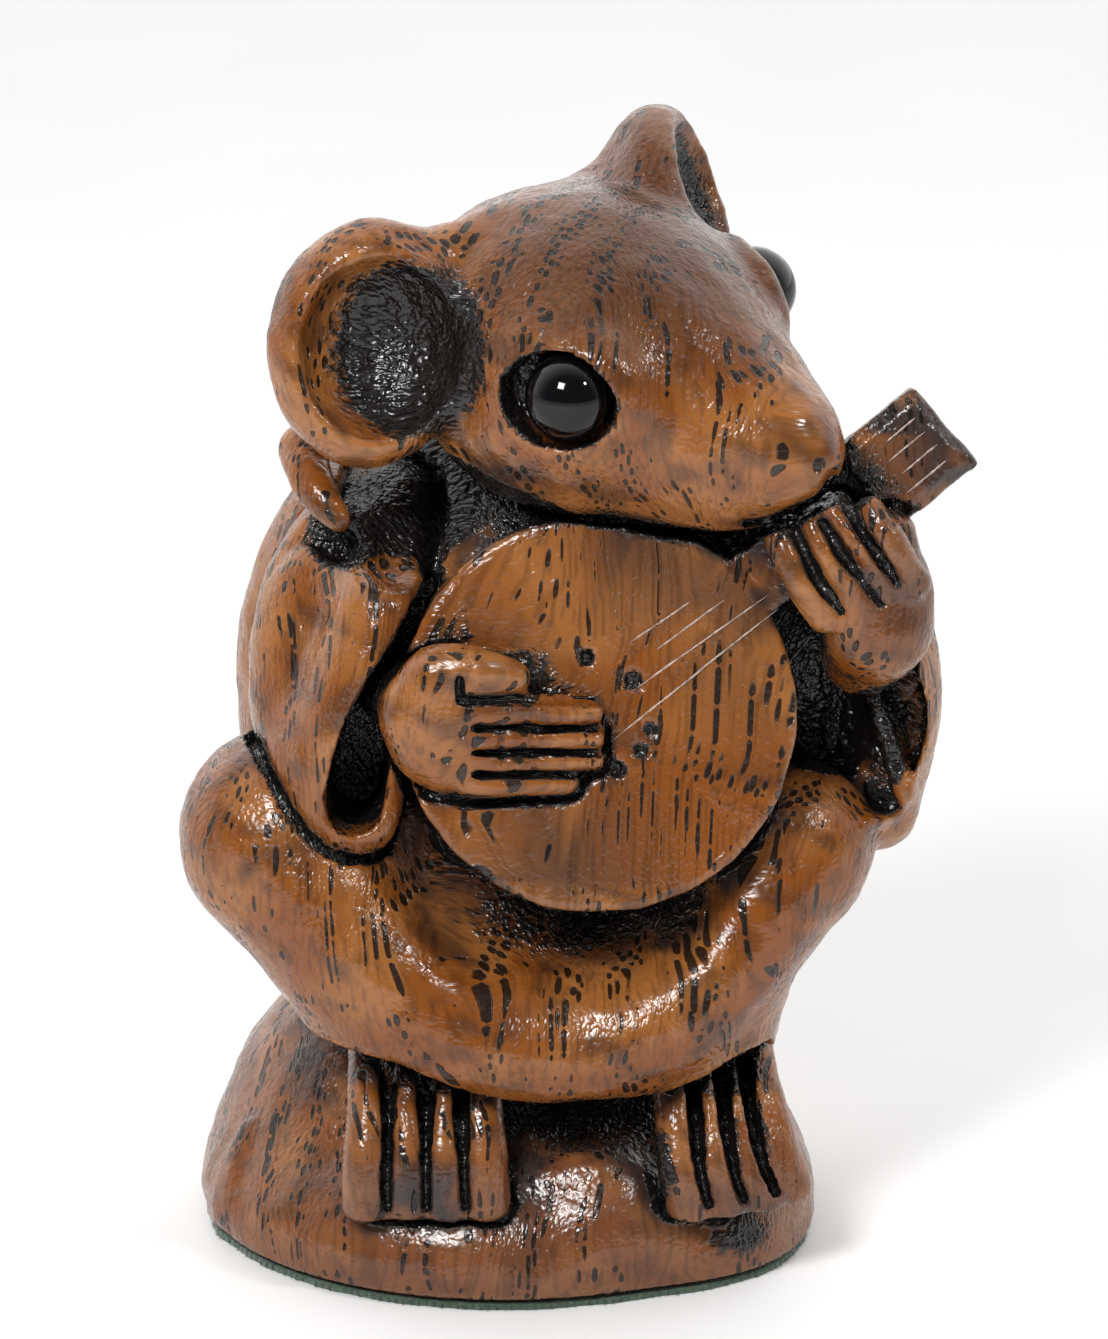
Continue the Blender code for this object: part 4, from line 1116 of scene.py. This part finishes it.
def felt(material):
    """The felt pad: a soft uneven edge, with fibres that stand out of it."""
    outline = footprint(220)
    turns = np.linspace(0, 2 * math.pi, len(outline), endpoint=False)
    chance = np.random.default_rng(11)
    frayed = 1 - 0.003 * chance.random(len(outline)) - 0.002 * np.sin(turns * 23)
    shape = bmesh.new()
    levels = ((0.0, 0.985), (0.08, 0.997), (0.45, 1.0), (0.82, 0.998), (0.97, 0.99), (1.0, 0.97))
    rings = []
    for z, share in levels:
        lift = [0, 0, z * FELT_THICKNESS]
        rings.append([shape.verts.new(((spot * share * fray + lift) * MM).tolist())
                      for spot, fray in zip(outline, frayed)])
    for low, high in zip(rings, rings[1:]):
        for i in range(len(outline)):
            j = (i + 1) % len(outline)
            shape.faces.new((low[i], low[j], high[j], high[i]))
    for ring, z in ((rings[0], 0.0), (rings[-1], FELT_THICKNESS)):
        inner = ring
        for share in (0.8, 0.55, 0.3, 0.1):
            nearer = [shape.verts.new(((spot * share + [0, 0, z]) * MM).tolist()) for spot in outline]
            for i in range(len(outline)):
                j = (i + 1) % len(outline)
                corners = (inner[i], inner[j], nearer[j], nearer[i])
                shape.faces.new(corners if z else corners[::-1])
            inner = nearer
        shape.faces.new(inner if z else inner[::-1])
    pad = shown("felt_cut", meshed("felt_cut", shape), material)

    hair = bmesh.new()
    for _ in range(2600):
        i = chance.integers(len(outline))
        foot = outline[i] * frayed[i] * 0.999 + [0, 0, chance.uniform(0.1, 0.9) * FELT_THICKNESS]
        out = outline[i] / np.linalg.norm(outline[i])
        way = out * chance.uniform(0.1, 0.5) + chance.normal(0, 0.5, 3) * [1, 1, 0.5]
        way *= chance.uniform(0.12, 0.34) / np.linalg.norm(way)
        if way @ out < 0:
            way -= 2 * (way @ out) * out
        tip = foot + way
        tip[2] = np.clip(tip[2], 0.03, WOOD_BOTTOM - 0.05)
        wide = np.cross(way, [0, 0, 1.0])
        wide *= 0.018 / max(np.linalg.norm(wide), 1e-6)
        bent = (foot + tip) / 2 + [0, 0, 0.03]
        corners = (foot - wide, foot + wide, bent - wide, bent + wide, tip)
        spots = [hair.verts.new((p * MM).tolist()) for p in corners]
        hair.faces.new((spots[0], spots[1], spots[3], spots[2]))
        hair.faces.new((spots[2], spots[3], spots[4]))
    fuzz = shown("felt_fuzz", meshed("felt_fuzz", hair), material)
    turned = np.roll(outline, -1, axis=0)
    area = 0.5 * abs(sum(a[0] * b[1] - b[0] * a[1] for a, b in zip(outline, turned))) * MM**2
    size = (np.ptp(outline[:, 0]) * MM, np.ptp(outline[:, 1]) * MM)
    return pad, fuzz, size, float(area)


def aimed(thing, way):
    thing.rotation_mode = "QUATERNION"
    thing.rotation_quaternion = way.to_track_quat("-Z", "Y")
    bpy.context.scene.collection.objects.link(thing)


def lamp(name, place, energy, size, target):
    light = bpy.data.lights.new(name, "AREA")
    light.energy = energy
    light.size = size
    holder = bpy.data.objects.new(name, light)
    holder.location = place
    aimed(holder, target - Vector(place))


def studio():
    """The pale floor, the soft lights and the camera where the photograph's was."""
    shape = bmesh.new()
    bmesh.ops.create_grid(shape, x_segments=8, y_segments=8, size=3.0)
    shown("floor", meshed("floor", shape), pale_floor())

    scene = bpy.context.scene
    target = Vector((3.3, 0.0, 38.5)) * MM
    lens = bpy.data.cameras.new("camera")
    lens.sensor_width = SENSOR
    lens.lens = SENSOR * VIEW_DISTANCE / VIEW_WIDTH
    lens.clip_start = 0.01
    camera = bpy.data.objects.new("camera", lens)
    rise_angle = math.radians(VIEW_RISE)
    back = Vector((0, -math.cos(rise_angle), math.sin(rise_angle)))
    camera.location = target + back * VIEW_DISTANCE * MM
    aimed(camera, -back)
    scene.camera = camera

    world = bpy.data.worlds.new("studio")
    scene.world = world
    world.use_nodes = True
    tree = world.node_tree
    tree.nodes["Background"].inputs["Color"].default_value = (1, 1, 1, 1)
    split = tree.nodes.new("ShaderNodeSeparateXYZ")
    tree.links.new(tree.nodes.new("ShaderNodeTexCoord").outputs["Generated"], split.inputs[0])
    bright = tree.nodes.new("ShaderNodeMapRange")
    bright.interpolation_type = "SMOOTHSTEP"
    for name, value in (("From Min", -0.45), ("From Max", 0.55), ("To Min", 0.12), ("To Max", 1.75)):
        bright.inputs[name].default_value = value
    tree.links.new(split.outputs[1], bright.inputs["Value"])
    tree.links.new(bright.outputs[0], tree.nodes["Background"].inputs["Strength"])
    lamp("key", (-0.15, -0.30, 0.35), 1.6, 0.12, target)
    lamp("fill", (0.31, -0.20, 0.38), 0.5, 0.05, target)
    scene.view_settings.view_transform = "Standard"


def main():
    studio()
    wood, glass, green = stained_shaded_wood(), black_glass(), green_felt()
    carved = fine_carving(wood)
    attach(carved, "root")
    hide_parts("carving")
    for bead, node in beads(glass):
        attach(bead, "root")
        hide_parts(node)
    scratches = strings(scratched_wood())
    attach(scratches, "root")
    pad, fuzz, size, area = felt(green)
    for piece in (pad, fuzz):
        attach(piece, "root")
    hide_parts("felt_pad")


main()
